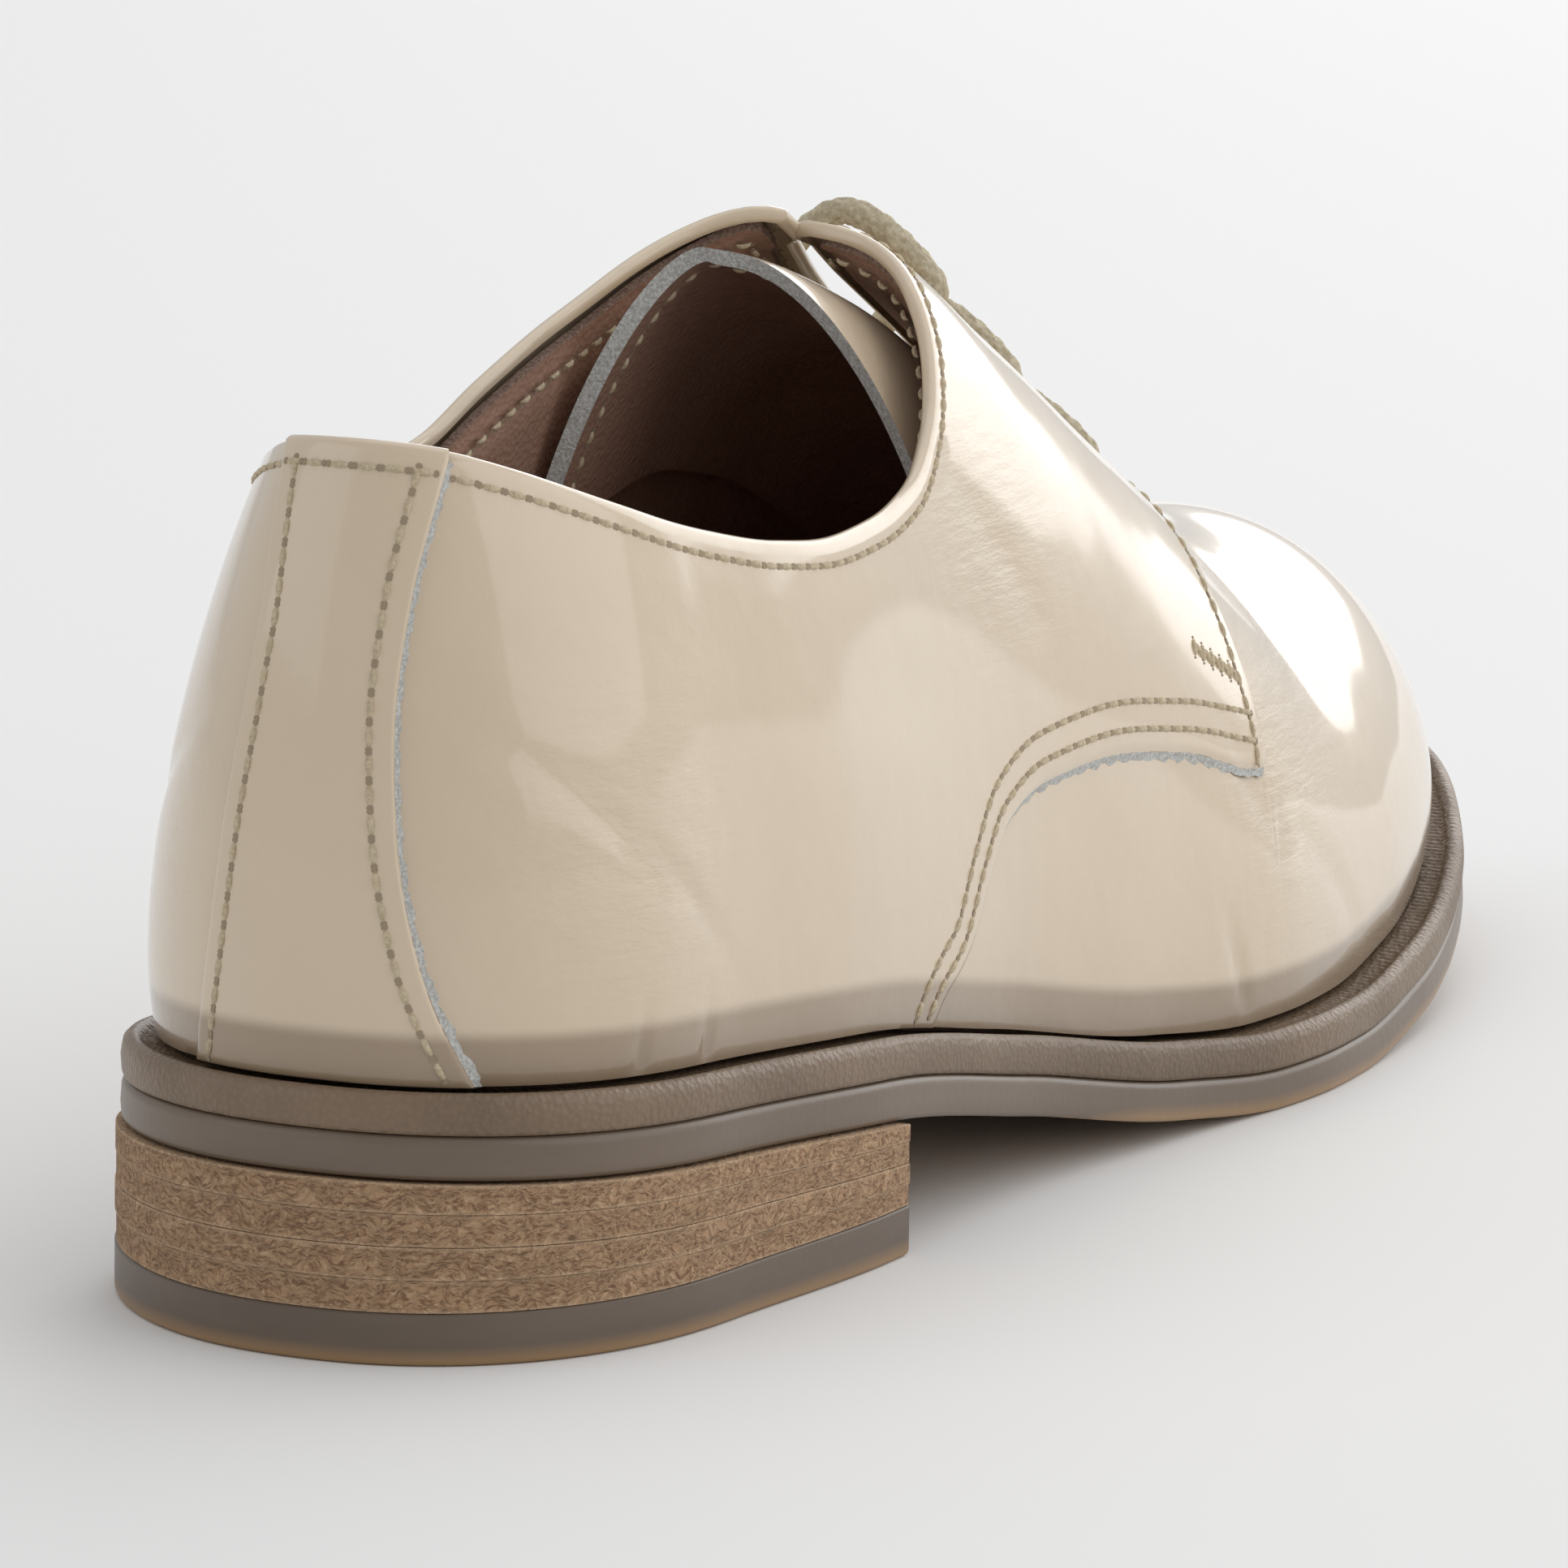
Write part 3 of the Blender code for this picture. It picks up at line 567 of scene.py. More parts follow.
class Value:
    """A socket that takes part in Python expressions."""

    def __init__(self, graph: "Graph", socket: bpy.types.NodeSocket) -> None:
        """Wraps an output socket of a graph."""
        self.graph = graph
        self.socket = socket

    def __add__(self, other: "Value | float") -> "Value":
        """Sum."""
        return self.graph.math("ADD", self, other)

    __radd__ = __add__

    def __mul__(self, other: "Value | float") -> "Value":
        """Product."""
        return self.graph.math("MULTIPLY", self, other)

    __rmul__ = __mul__

    def __sub__(self, other: "Value | float") -> "Value":
        """Difference."""
        return self.graph.math("SUBTRACT", self, other)

    def __rsub__(self, other: "Value | float") -> "Value":
        """Difference, with this value taken away."""
        return self.graph.math("SUBTRACT", other, self)


class Graph:
    """The nodes of one material."""

    def __init__(self, name: str) -> None:
        """Starts a material with a Principled shader.

        Args:
            name: the material's name.
        """
        self.material = bpy.data.materials.new(name)
        self.material.use_nodes = True
        self.tree = self.material.node_tree
        self.shader = self.tree.nodes["Principled BSDF"]
        self.place = self.make("ShaderNodeTexCoord", {}, {}, "Object")

    def make(self, kind: str, settings: dict, inputs: dict, output: str | int = 0) -> Value:
        """Adds a node.

        Args:
            kind: the node's type.
            settings: its properties, set first.
            inputs: values or links, by socket name or number.
            output: the socket that the result wraps.

        Returns:
            The chosen output.
        """
        node = self.tree.nodes.new(kind)
        for key, value in settings.items():
            setattr(node, key, value)
        for key, value in inputs.items():
            self.feed(node.inputs[key], value)
        return Value(self, node.outputs[output])

    def feed(self, socket: bpy.types.NodeSocket, value: "Value | float | tuple") -> None:
        """Links a value to a socket, or sets it.

        Args:
            socket: the socket to feed.
            value: a link, a number or a colour.
        """
        if isinstance(value, Value):
            self.tree.links.new(value.socket, socket)
        elif isinstance(value, tuple) and len(value) == 3 and socket.type == "RGBA":
            socket.default_value = (*value, 1.0)
        else:
            socket.default_value = value

    def math(self, operation: str, a: "Value | float", b: "Value | float") -> Value:
        """A Math node on two values."""
        return self.make("ShaderNodeMath", {"operation": operation}, {0: a, 1: b})

    def mix(self, factor: Value, a: "Value | Colour", b: "Value | Colour") -> Value:
        """A colour between two colours."""
        inputs = {0: factor, 6: a, 7: b}
        return self.make("ShaderNodeMix", {"data_type": "RGBA"}, inputs, 2)

    def noise(
        self, scale: float, detail: float = 2.0, rough: float = 0.5, at: "Value | None" = None
    ) -> Value:
        """Noise whose features are about 1 / scale metres wide."""
        inputs = {"Vector": at or self.place, "Scale": scale, "Detail": detail, "Roughness": rough}
        return self.make("ShaderNodeTexNoise", {}, inputs, "Fac")

    def stretched(self, scale: tuple[float, float, float], turn: float = 0.0) -> Value:
        """Object coordinates, scaled by axis and turned about Y."""
        inputs = {"Vector": self.place, "Scale": scale, "Rotation": (0.0, turn, 0.0)}
        return self.make("ShaderNodeMapping", {"vector_type": "POINT"}, inputs)

    def attribute(self, name: str) -> Value:
        """A number stored on the mesh."""
        return self.make("ShaderNodeAttribute", {"attribute_name": name}, {}, "Fac")

    def band(self, value: Value, low: float, high: float) -> Value:
        """Smooth step of a value."""
        inputs = {"Value": value, "From Min": low, "From Max": high}
        return self.make("ShaderNodeMapRange", {"interpolation_type": "SMOOTHSTEP"}, inputs, "Result")

    def bump(self, height: Value, distance: float, strength: float = 1.0) -> None:
        """Feeds a bump to the shader's normal."""
        inputs = {"Height": height, "Distance": distance, "Strength": strength}
        self.feed(self.shader.inputs["Normal"], self.make("ShaderNodeBump", {}, inputs))

    def finish(self, **sockets: "Value | float | Colour") -> bpy.types.Material:
        """Feeds the shader's sockets, named with underscores, and gives the material.

        Args:
            sockets: a value or a link for each socket.

        Returns:
            The material.
        """
        for key, value in sockets.items():
            self.feed(self.shader.inputs[key.replace("_", " ").title().replace("Ior", "IOR")], value)
        return self.material


@dataclass(frozen=True)
class PatentLeather:
    """Cream leather under a hard gloss coat, with soft ripples, fine creases and a painted reflection
    of the dark welt along its foot.
    """

    tint: Colour = (0.680, 0.555, 0.405)
    deep: Colour = (0.590, 0.465, 0.330)
    # foot: painted reflection, the dark tan that the leather turns just above the welt, where the welt
    # shows in the gloss
    foot: Colour = (0.290, 0.205, 0.130)
    coat_roughness: float = 0.085

    def material(self) -> bpy.types.Material:
        """Builds the finish.

        Returns:
            The material.
        """
        g = Graph("patent_leather")
        cloud = g.noise(26.0, 3.0)
        # painted reflection: darker up to about 4.4 mm over the welt, fading out by 6.2 mm, standing
        # in for the welt's reflection in the gloss
        low = 1 - g.band(g.attribute("foot"), 0.0044, 0.0062)
        tanned = g.mix(g.band(cloud, 0.35, 0.75) * 0.25, self.tint, self.deep)
        colour = g.mix(low * 0.85, tanned, self.foot)
        ripple = g.noise(95.0, 2.0) * 0.55 + g.noise(420.0, 3.0, 0.6) * 0.10
        crease = g.noise(260.0, 4.0, 0.65, g.stretched((1.0, 0.30, 1.6), 0.5))
        worn = g.attribute("flex")
        g.bump(ripple + crease * worn * 0.90, 0.00070)
        roughness = 0.30 + 0.1 * g.noise(60.0)
        return g.finish(
            base_color=colour,
            roughness=roughness,
            coat_weight=1.0,
            coat_roughness=self.coat_roughness,
            coat_ior=1.5,
        )


@dataclass(frozen=True)
class RawEdge:
    """The cut edge of a panel, where the hide's core shows as pale fuzz."""

    tint: Colour = (0.800, 0.815, 0.800)
    shade: Colour = (0.500, 0.490, 0.460)
    name: str = "raw_edge"

    def material(self) -> bpy.types.Material:
        """Builds the finish.

        Returns:
            The material.
        """
        g = Graph(self.name)
        fuzz = g.noise(2600.0, 4.0, 0.7)
        g.bump(fuzz, 0.0004)
        colour = g.mix(g.band(fuzz, 0.35, 0.7), self.shade, self.tint)
        return g.finish(base_color=colour, roughness=0.95)


@dataclass(frozen=True)
class PlainLeather:
    """Matt leather with a pore grain and slow changes of tone."""

    name: str
    tint: Colour
    shade: Colour
    roughness: float = 0.55
    pores: float = 1500.0
    relief: float = 0.00012

    def material(self) -> bpy.types.Material:
        """Builds the finish.

        Returns:
            The material.
        """
        g = Graph(self.name)
        tone = g.band(g.noise(38.0, 4.0, 0.6), 0.3, 0.75)
        cells = {"Vector": g.place, "Scale": self.pores}
        grain = g.make("ShaderNodeTexVoronoi", {"feature": "F1"}, cells, "Distance")
        g.bump(grain + g.noise(500.0, 3.0) * 0.8, self.relief)
        colour = g.mix(tone * 0.8 + g.band(grain, 0.2, 0.6) * 0.2, self.tint, self.shade)
        return g.finish(base_color=colour, roughness=self.roughness + 0.12 * tone)


@dataclass(frozen=True)
class SoleEdge:
    """Painted edge of the sole, clearer towards its foot, where it lets light through."""

    name: str
    tint: Colour
    foot: Colour
    clear_below: float
    roughness: float = 0.34
    worn: Colour = (0.210, 0.160, 0.122)

    def material(self) -> bpy.types.Material:
        """Builds the finish.

        Returns:
            The material.
        """
        g = Graph(self.name)
        smear = g.noise(30.0, 3.0, 0.6, g.stretched((1.0, 1.0, 6.0)))
        glow = 1 - g.band(g.attribute("level"), 0.0, self.clear_below)
        tinted = g.mix(g.band(smear, 0.3, 0.8) * 0.35, self.tint, self.worn)
        colour = g.mix(glow, tinted, self.foot)
        g.bump(g.noise(700.0, 3.0) * 0.5 + smear, 0.00010)
        return g.finish(
            base_color=colour,
            roughness=self.roughness + 0.15 * smear,
            coat_weight=0.15,
            coat_roughness=0.2,
        )


@dataclass(frozen=True)
class StackedLeather:
    """Cut edges of stacked lifts: long fibres, lighter and darker by layer."""

    tint: Colour = (0.480, 0.300, 0.170)
    light: Colour = (0.640, 0.450, 0.290)
    dark: Colour = (0.230, 0.125, 0.065)

    def material(self) -> bpy.types.Material:
        """Builds the finish.

        Returns:
            The material.
        """
        g = Graph("stacked_leather")
        drift = {"Vector": g.place, "Scale": 260.0, "Detail": 3.0}
        warp = g.make("ShaderNodeTexNoise", {}, drift, "Color")
        bent = g.make("ShaderNodeVectorMath", {"operation": "SCALE"}, {0: warp, "Scale": 0.0035})
        moved = g.make("ShaderNodeVectorMath", {"operation": "ADD"}, {0: g.place, 1: bent})
        long = g.make("ShaderNodeMapping", {}, {"Vector": moved, "Scale": (1.0, 1.0, 2.6)})
        fibre = g.noise(1150.0, 5.0, 0.72, long)
        cells = {"Vector": long, "Scale": 620.0}
        curl = g.make("ShaderNodeTexVoronoi", {"feature": "DISTANCE_TO_EDGE"}, cells, "Distance")
        strand = 1 - g.band(curl, 0.0, 0.16)
        body = g.mix(g.band(fibre, 0.36, 0.58), self.dark, self.tint)
        level = g.attribute("level")
        joint = g.band((level - 0.5) * (level - 0.5), 0.12, 0.24)
        pale = strand * 0.5 * g.band(fibre, 0.4, 0.6) + joint * 0.55
        colour = g.mix(pale, body, self.light)
        g.bump(fibre + strand * 0.4, 0.00035)
        return g.finish(base_color=colour, roughness=0.85)


@dataclass(frozen=True)
class Yarn:
    """Twisted or braided thread."""

    name: str
    tint: Colour
    shade: Colour
    scale: float = 2400.0

    def material(self) -> bpy.types.Material:
        """Builds the finish.

        Returns:
            The material.
        """
        g = Graph(self.name)
        strand = g.noise(self.scale, 3.0, 0.6)
        g.bump(strand, 0.00020)
        colour = g.mix(g.band(strand, 0.3, 0.7), self.shade, self.tint)
        return g.finish(base_color=colour, roughness=0.80)


@dataclass(frozen=True)
class Plain:
    """An even, matt surface."""

    name: str
    tint: Colour
    roughness: float = 0.9

    def material(self) -> bpy.types.Material:
        """Builds the finish, which has no grain."""
        return Graph(self.name).finish(base_color=self.tint, roughness=self.roughness)


class Finish(Enum):
    """Every finish on the shoe."""

    PATENT = PatentLeather()
    RAW = RawEdge()
    SUEDE = RawEdge((0.50, 0.36, 0.29), (0.24, 0.15, 0.11), "lining_edge")
    LINING = PlainLeather("lining_leather", (0.420, 0.250, 0.180), (0.290, 0.165, 0.120))
    SOCK = PlainLeather("insole_leather", (0.300, 0.180, 0.115), (0.200, 0.115, 0.075))
    WELT = PlainLeather("welt_leather", (0.225, 0.156, 0.100), (0.150, 0.102, 0.064), 0.38)
    SOLE = SoleEdge("sole_rubber", (0.150, 0.109, 0.076), (0.360, 0.220, 0.105), 0.50)
    TOP_PIECE = SoleEdge(
        "top_piece_rubber", (0.122, 0.090, 0.066), (0.340, 0.205, 0.095), 0.42, 0.40
    )
    STACK = StackedLeather()
    THREAD = Yarn("thread", (0.640, 0.540, 0.380), (0.480, 0.390, 0.260))
    LACE = Yarn("lace_cord", (0.600, 0.530, 0.390), (0.400, 0.340, 0.230), 1500.0)
    # painted shade inside the stitch holes
    HOLE_SHADE = Plain("stitch_hole_shade", (0.340, 0.265, 0.180))
    # painted shade inside the eyelet holes
    MOUTH_SHADE = Plain("hole_mouth_shade", (0.060, 0.040, 0.028))

    @property
    def material(self) -> bpy.types.Material:
        """The finish's material, made once.

        Returns:
            The material.
        """
        made = MADE.get(self.name)
        if made is None:
            made = MADE[self.name] = self.value.material()
        return made


MADE: dict[str, bpy.types.Material] = {}


# Meshes


@dataclass
class Sheet:
    """A grid of points, with a number on each for each attribute."""

    points: Array
    flip: bool = False
    finish: int = 0
    marks: dict[str, Array] = field(default_factory=dict)


def add_piece(
    name: str, mesh: bpy.types.Mesh, finishes: list[Finish]
) -> bpy.types.Object:
    """Puts a mesh in the scene as a piece that rides on the shoe.

    Args:
        name: the piece's name.
        mesh: its mesh.
        finishes: a finish for each material index of its faces.

    Returns:
        The piece.
    """
    item = bpy.data.objects.new(name, mesh)
    bpy.context.scene.collection.objects.link(item)
    for finish in finishes:
        mesh.materials.append(finish.material)
    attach(item, "root")
    return item


def mesh_of(name: str, sheets: list[Sheet], weld: float = 2e-6) -> bpy.types.Mesh:
    """Joins grids into one mesh.

    Args:
        name: the mesh's name.
        sheets: its grids.
        weld: points closer than this become one.

    Returns:
        The mesh, with smooth faces and the grids' attributes.
    """
    points = np.concatenate([sheet.points.reshape(-1, 3) for sheet in sheets])
    names = sorted({key for sheet in sheets for key in sheet.marks})
    faces, finish, start = [], [], 0
    for sheet in sheets:
        columns, rows = sheet.points.shape[:2]
        i, j = np.meshgrid(np.arange(columns - 1), np.arange(rows - 1), indexing="ij")
        a = (start + i * rows + j).ravel()
        quads = np.stack([a, a + rows, a + rows + 1, a + 1], -1)
        faces.append(quads[:, ::-1] if sheet.flip else quads)
        finish.append(np.full(len(a), sheet.finish))
        start += columns * rows
    mesh = bpy.data.meshes.new(name)
    mesh.from_pydata(points.tolist(), [], np.concatenate(faces).tolist())
    mesh.polygons.foreach_set("material_index", np.concatenate(finish).astype(np.int32))
    for key in names:
        values = [
            np.broadcast_to(sheet.marks.get(key, 0.0), sheet.points.shape[:2]).ravel()
            for sheet in sheets
        ]
        layer = mesh.attributes.new(key, "FLOAT", "POINT")
        layer.data.foreach_set("value", np.concatenate(values).astype(np.float32))
    bm = bmesh.new()
    bm.from_mesh(mesh)
    bmesh.ops.remove_doubles(bm, verts=bm.verts, dist=weld)
    bm.to_mesh(mesh)
    bm.free()
    mesh.shade_smooth()
    mesh.set_sharp_from_angle(angle=np.radians(50))
    return mesh


def rim_sheet(outer: Array, inner: Array, flip: bool, finish: int = 0) -> Sheet:
    """The face strip between two lines of points."""
    return Sheet(np.stack([outer, inner], 1), flip, finish)


# The upper


@dataclass
class Relief:
    """Soft folds and creases of the wall, placed on the side view in metres."""

    folds: tuple = (
        Fold(-0.120, 0.0525, 0.011, 0.0016, -0.75, 0.00022),
        Fold(-0.116, 0.0490, 0.012, 0.0014, -0.80, 0.00025),
        Fold(-0.111, 0.0465, 0.011, 0.0013, -0.78, 0.00022),
        Fold(-0.107, 0.0430, 0.009, 0.0012, -0.85, 0.00018),
        Fold(-0.115, 0.0280, 0.0007, 0.0045, 0.0, 0.00045),
        Fold(-0.104, 0.0270, 0.0007, 0.0045, 0.1, 0.00040),
        Fold(-0.093, 0.0425, 0.020, 0.0110, -0.30, 0.00060),
        Fold(0.012, 0.0155, 0.0009, 0.0060, 0.35, 0.00055),
        Fold(0.018, 0.0340, 0.0018, 0.0090, 0.55, 0.00040),
        Fold(0.024, 0.0300, 0.0016, 0.0090, 0.65, 0.00035),
        Fold(0.031, 0.0260, 0.0018, 0.0085, 0.75, 0.00035),
        Fold(0.039, 0.0200, 0.0020, 0.0080, 0.70, 0.00030),
        Fold(0.046, 0.0480, 0.0050, 0.0120, 0.45, 0.00045),
        Fold(-0.036, 0.0720, 0.0030, 0.0100, 0.60, 0.00030),
        Fold(-0.029, 0.0640, 0.0026, 0.0100, 0.65, 0.00026),
        Fold(-0.060, 0.0560, 0.020, 0.0080, -0.20, 0.00035),
    )
    creased: tuple = (
        Zone(-0.114, 0.048, 0.014),
        Zone(-0.033, 0.068, 0.013),
        Zone(0.028, 0.030, 0.014),
        Zone(0.050, 0.055, 0.014),
    )
    medial_share: float = 0.7

    def depth(self, points: Array, side: float) -> Array:
        """How far the wall sinks at points.

        Args:
            points: points of the wall.
            side: LATERAL or MEDIAL, which folds a little less.

        Returns:
            Depths in metres.
        """
        total = np.zeros(points.shape[:-1])
        for fold in self.folds:
            y, z = points[..., 1] - fold.y, points[..., 2] - fold.z
            along = y * np.cos(fold.angle) + z * np.sin(fold.angle)
            across = z * np.cos(fold.angle) - y * np.sin(fold.angle)
            total += fold.depth * np.exp(-((along / fold.along) ** 2) - (across / fold.across) ** 2)
        return total * (1.0 if side > 0 else self.medial_share)

    def flex(self, points: Array) -> Array:
        """How finely creased the leather is, 0 to 1.

        Args:
            points: points of the wall.

        Returns:
            A share for each point.
        """
        total = np.zeros(points.shape[:-1])
        for zone in self.creased:
            y, z = (points[..., 1] - zone.y) / zone.radius, (points[..., 2] - zone.z) / zone.radius
            total += np.exp(-(y**2) - z**2)
        return np.clip(total, 0, 1)


@dataclass
class Upper:
    """Vamp, two quarters, back strap and lining, with the rounded bead of the top line."""

    last: Last
    relief: Relief = field(default_factory=Relief)
    columns: int = 230
    rows: int = 74
    bead_rows: int = 9
    bead: float = 0.0012
    bead_seat: float = 0.9
    round_edge: float = 0.0005
    underlap: float = 0.006
    raw_width: float = 0.0008
    raw_from: float = 0.352
    vamp_from: float = 0.27
    lining_thin: float = 0.0012
    strap_reach: float = 0.011

    def fray(self, keys: Array, pace: float) -> Array:
        """Uneven widths of a raw edge, about 1."""
        return 1 + 0.22 * np.sin(pace * keys) + 0.16 * np.sin(2.37 * pace * keys + 1.0)

    def dressed(self, side: float, turns: Array, levels: Array, offset: Array) -> Array:
        """Points of the wall's outside with its folds.

        Args:
            side: LATERAL or MEDIAL.
            turns: ways round the last.
            levels: climbs from the wall's foot (0) to its top edge (1).
            offset: distance off the last where nothing is folded.

        Returns:
            The points.
        """
        points = self.last.wall_point(side, turns, levels, offset)
        depth = self.relief.depth(points, side)
        fade = step(0.0, 0.03, np.asarray(levels)) * (1 - step(0.90, 1.0, np.asarray(levels)))
        return self.last.wall_point(side, turns, levels, offset - depth * fade)

    def marks(self, points: Array) -> dict[str, Array]:
        """The attributes that the patent finish reads: height over the welt for its painted reflection
        band, and flex for its creases.
        """
        foot = points[..., 2] - self.last.feather_line(self.last.share_of(points[..., 1]))
        return {"foot": foot, "flex": self.relief.flex(points)}

    def beaded(self, side: float, turns: Array, outer: float, sheet: Array) -> Array:
        """Rolls the top of each column over into a bead.

        Args:
            side: LATERAL or MEDIAL.
            turns: the columns' turns at their top.
            outer: the panel's outer offset.
            sheet: its outside, which ends below the bead.

        Returns:
            The sheet with the bead's rows added.
        """
        middle = outer - self.bead * 0.7
        angles = np.linspace(0, np.pi, self.bead_rows)[1:]
        top = self.last.wall_point(side, turns, 1.0, middle)
        below = self.last.wall_point(side, turns, 0.985, middle)
        out = self.last.wall_point(side, turns, 1.0, outer) - top
        up = unit(top - below)
        centre = top - up * self.bead * 0.4
        rolled = [centre + out * np.cos(a) * 1.06 + up * self.bead * np.sin(a) for a in angles]
        return np.concatenate([sheet, np.stack(rolled, 1)], 1)

    def bead_start(self, side: float, turns: Array) -> Array:
        """Level at which the bead starts, so that it has one size all along the top line.

        Args:
            side: LATERAL or MEDIAL.
            turns: ways round the last.

        Returns:
            A level for each turn.
        """
        low = self.last.wall_point(side, turns, 0.90, 0.0)
        high = self.last.wall_point(side, turns, 1.0, 0.0)
        run = np.linalg.norm(high - low, axis=-1)
        return 1 - 0.10 * self.bead * self.bead_seat / np.maximum(run, 1e-4)

    def quarter_turns(self) -> Array:
        """Turns of a quarter's columns, closer together where its edge is steep.

        Returns:
            Rising turns.
        """
        turn = np.linspace(0, self.last.turn_at(self.last.throat_end - 1e-5), 4000)
        height = self.last.edge_height(self.last.share_at(turn))
        plan = np.linalg.norm(np.diff(self.last.edge_line(LATERAL, turn), axis=0), axis=1)
        total = np.concatenate([[0], np.cumsum(np.hypot(plan, 0.55 * np.diff(height)))])
        return np.interp(np.linspace(0, total[-1], self.columns), total, turn)

    def quarter(self, side: float) -> bpy.types.Object:
        """One quarter, from under the strap to the front of its facing.

        Args:
            side: LATERAL or MEDIAL.

        Returns:
            The piece.
        """
        last = self.last
        turns = self.quarter_turns()
        seams = np.array([last.seam_level(side, turn) for turn in turns])
        keep = seams < 0.999
        turns, seams = turns[keep], seams[keep]
        ends = self.bead_start(side, turns)
        outer = last.wall + last.lap
        run = np.concatenate([[0, 0.006, 0.014], np.linspace(0.03, 1, self.rows - 3)])
        levels = seams[:, None] + (ends - seams)[:, None] * run
        wide = np.broadcast_to(turns[:, None], levels.shape)
        rounding = self.round_edge * np.array([1.0, 0.35, 0.08] + [0] * (self.rows - 3))
        rounding = rounding * (seams > 0)[:, None]
        outside = self.dressed(side, wide, levels, outer - rounding)
        outside = self.beaded(side, turns, outer, outside)
        raw = turns > last.turn_at(self.raw_from)
        run_down = np.linalg.norm(outside[:, 20] - outside[:, 0], axis=-1)
        lower = (levels[:, 20] - levels[:, 0]) * self.raw_width * self.fray(turns, 900.0) / run_down
        lower = np.maximum(levels[:, 0] - np.where(raw, lower, 0.0), 0)[:, None]
        under = last.wall_point(side, wide[:, :1], lower, last.wall + 0.00002)
        sheets = [Sheet(outside, side < 0, 0, self.marks(outside))]
        for finish, chosen in ((0, ~raw), (1, raw)):
            index = np.nonzero(chosen & (seams > 0))[0]
            if len(index) > 1:
                span = slice(max(index[0] - 1, 0) if finish else index[0], index[-1] + 1)
                sheets.append(rim_sheet(outside[span, 0], under[span, 0], side > 0, finish))
        front_under = last.wall_point(side, wide[-1], levels[-1], last.wall * 0.6)
        sheets.append(rim_sheet(outside[-1, : self.rows], front_under, side < 0, 0))
        name = f"quarter_{last.side_name(side)}"
        return add_piece(name, mesh_of(name, sheets), [Finish.PATENT, Finish.RAW])

    def vamp(self) -> bpy.types.Object:
        """The vamp, from under the quarters to the toe, in one piece over the ridge.

        Returns:
            The piece.
        """
        last = self.last
        start = last.turn_at(self.vamp_from)
        front = start + (1 - start) * np.linspace(0, 1, self.columns)
        front = np.sort(np.append(front, last.turn_at(last.throat_end)))
        sheets = []
        for side in SIDES:
            seams = np.array([last.seam_level(side, turn) for turn in front])
            tops = np.where(seams >= 1, 1.0, np.minimum(seams + self.underlap / 0.06, 0.995))
            run = np.linspace(0, 1, self.rows) ** 0.9
            levels = tops[:, None] * run
            wide = np.broadcast_to(front[:, None], levels.shape)
            outside = self.dressed(side, wide, levels, last.wall)
            sheets.append(Sheet(outside, side < 0, 0, self.marks(outside)))
        return add_piece("vamp", mesh_of("vamp", sheets), [Finish.PATENT])

    def strap(self) -> bpy.types.Object:
        """The back strap, raw along its lateral edge and finished along its medial one.

        Returns:
            The piece.
        """
        last = self.last
        levels = np.linspace(0, 0.985, 120)
        edges = {
            side: np.array([last.strap_turn(side, level) for level in levels]) for side in SIDES
        }
        run = np.concatenate([np.linspace(0, 0.94, 34), [0.965, 0.985, 1.0]])
        outer = last.wall + 2 * last.lap
        drop = self.round_edge * np.concatenate([np.zeros(34), [0.06, 0.30, 1.0]])
        sheets = []
        for side in SIDES:
            wide = run[:, None] * edges[side][None, :]
            tall = np.broadcast_to(levels[None, :], wide.shape)
            outside = last.wall_point(side, wide, tall, outer - drop[:, None])
            outside = self.beaded(side, wide[:, -1], outer, outside)
            sheets.append(Sheet(outside, side < 0, 0, self.marks(outside)))
            finish = 1 if side > 0 else 0
            frayed = finish * self.raw_width * self.fray(levels, 1400.0)
            wider = wide[-1] + frayed * edges[side] / self.strap_reach
            under = last.wall_point(side, wider, tall[-1], outer - last.lap)
            sheets.append(rim_sheet(outside[-1, : len(levels)], under, side < 0, finish))
        mesh = mesh_of("back_strap", sheets)
        return add_piece("back_strap", mesh, [Finish.PATENT, Finish.RAW])

    def lining(self) -> bpy.types.Object:
        """The leather lining, whose raw top edge shows under the bead.

        Returns:
            The piece.
        """
        last = self.last
        ends = [last.throat_top, last.throat_end]
        turns = np.sort(last.turn_at(np.concatenate([np.linspace(0, 1, 200), ends])))
        sheets = []
        for side in SIDES:
            drop = 1 - (1 - self.bead_start(side, turns)) * 2.2
            drop = np.where(turns >= last.turn_at(last.throat_end), 1.0, drop)
            levels = drop[:, None] * np.linspace(0, 1, 60)
            wide = np.broadcast_to(turns[:, None], levels.shape)
            thin = self.lining_thin * step(0.90, 1.0, levels / drop[:, None])
            inside = last.wall_point(side, wide, levels, -0.00035 + thin)
            back = last.wall_point(side, wide, levels, 0.0006 + thin)
            sheets.append(Sheet(inside, side > 0, 0))
            sheets.append(Sheet(back, side < 0, 0))
            sheets.append(rim_sheet(inside[:, -1], back[:, -1], side < 0, 1))
        finishes = [Finish.LINING, Finish.SUEDE]
        return add_piece("lining", mesh_of("lining", sheets), finishes)

    def build(self) -> list[bpy.types.Object]:
        """Builds the panels and stands them for the upper's solid.

        Returns:
            The pieces.
        """
        quarters = [self.vamp(), self.quarter(LATERAL), self.quarter(MEDIAL)]
        pieces = [*quarters, self.strap(), self.lining()]
        for piece in pieces:
            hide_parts("upper")
        return pieces


# Stitches


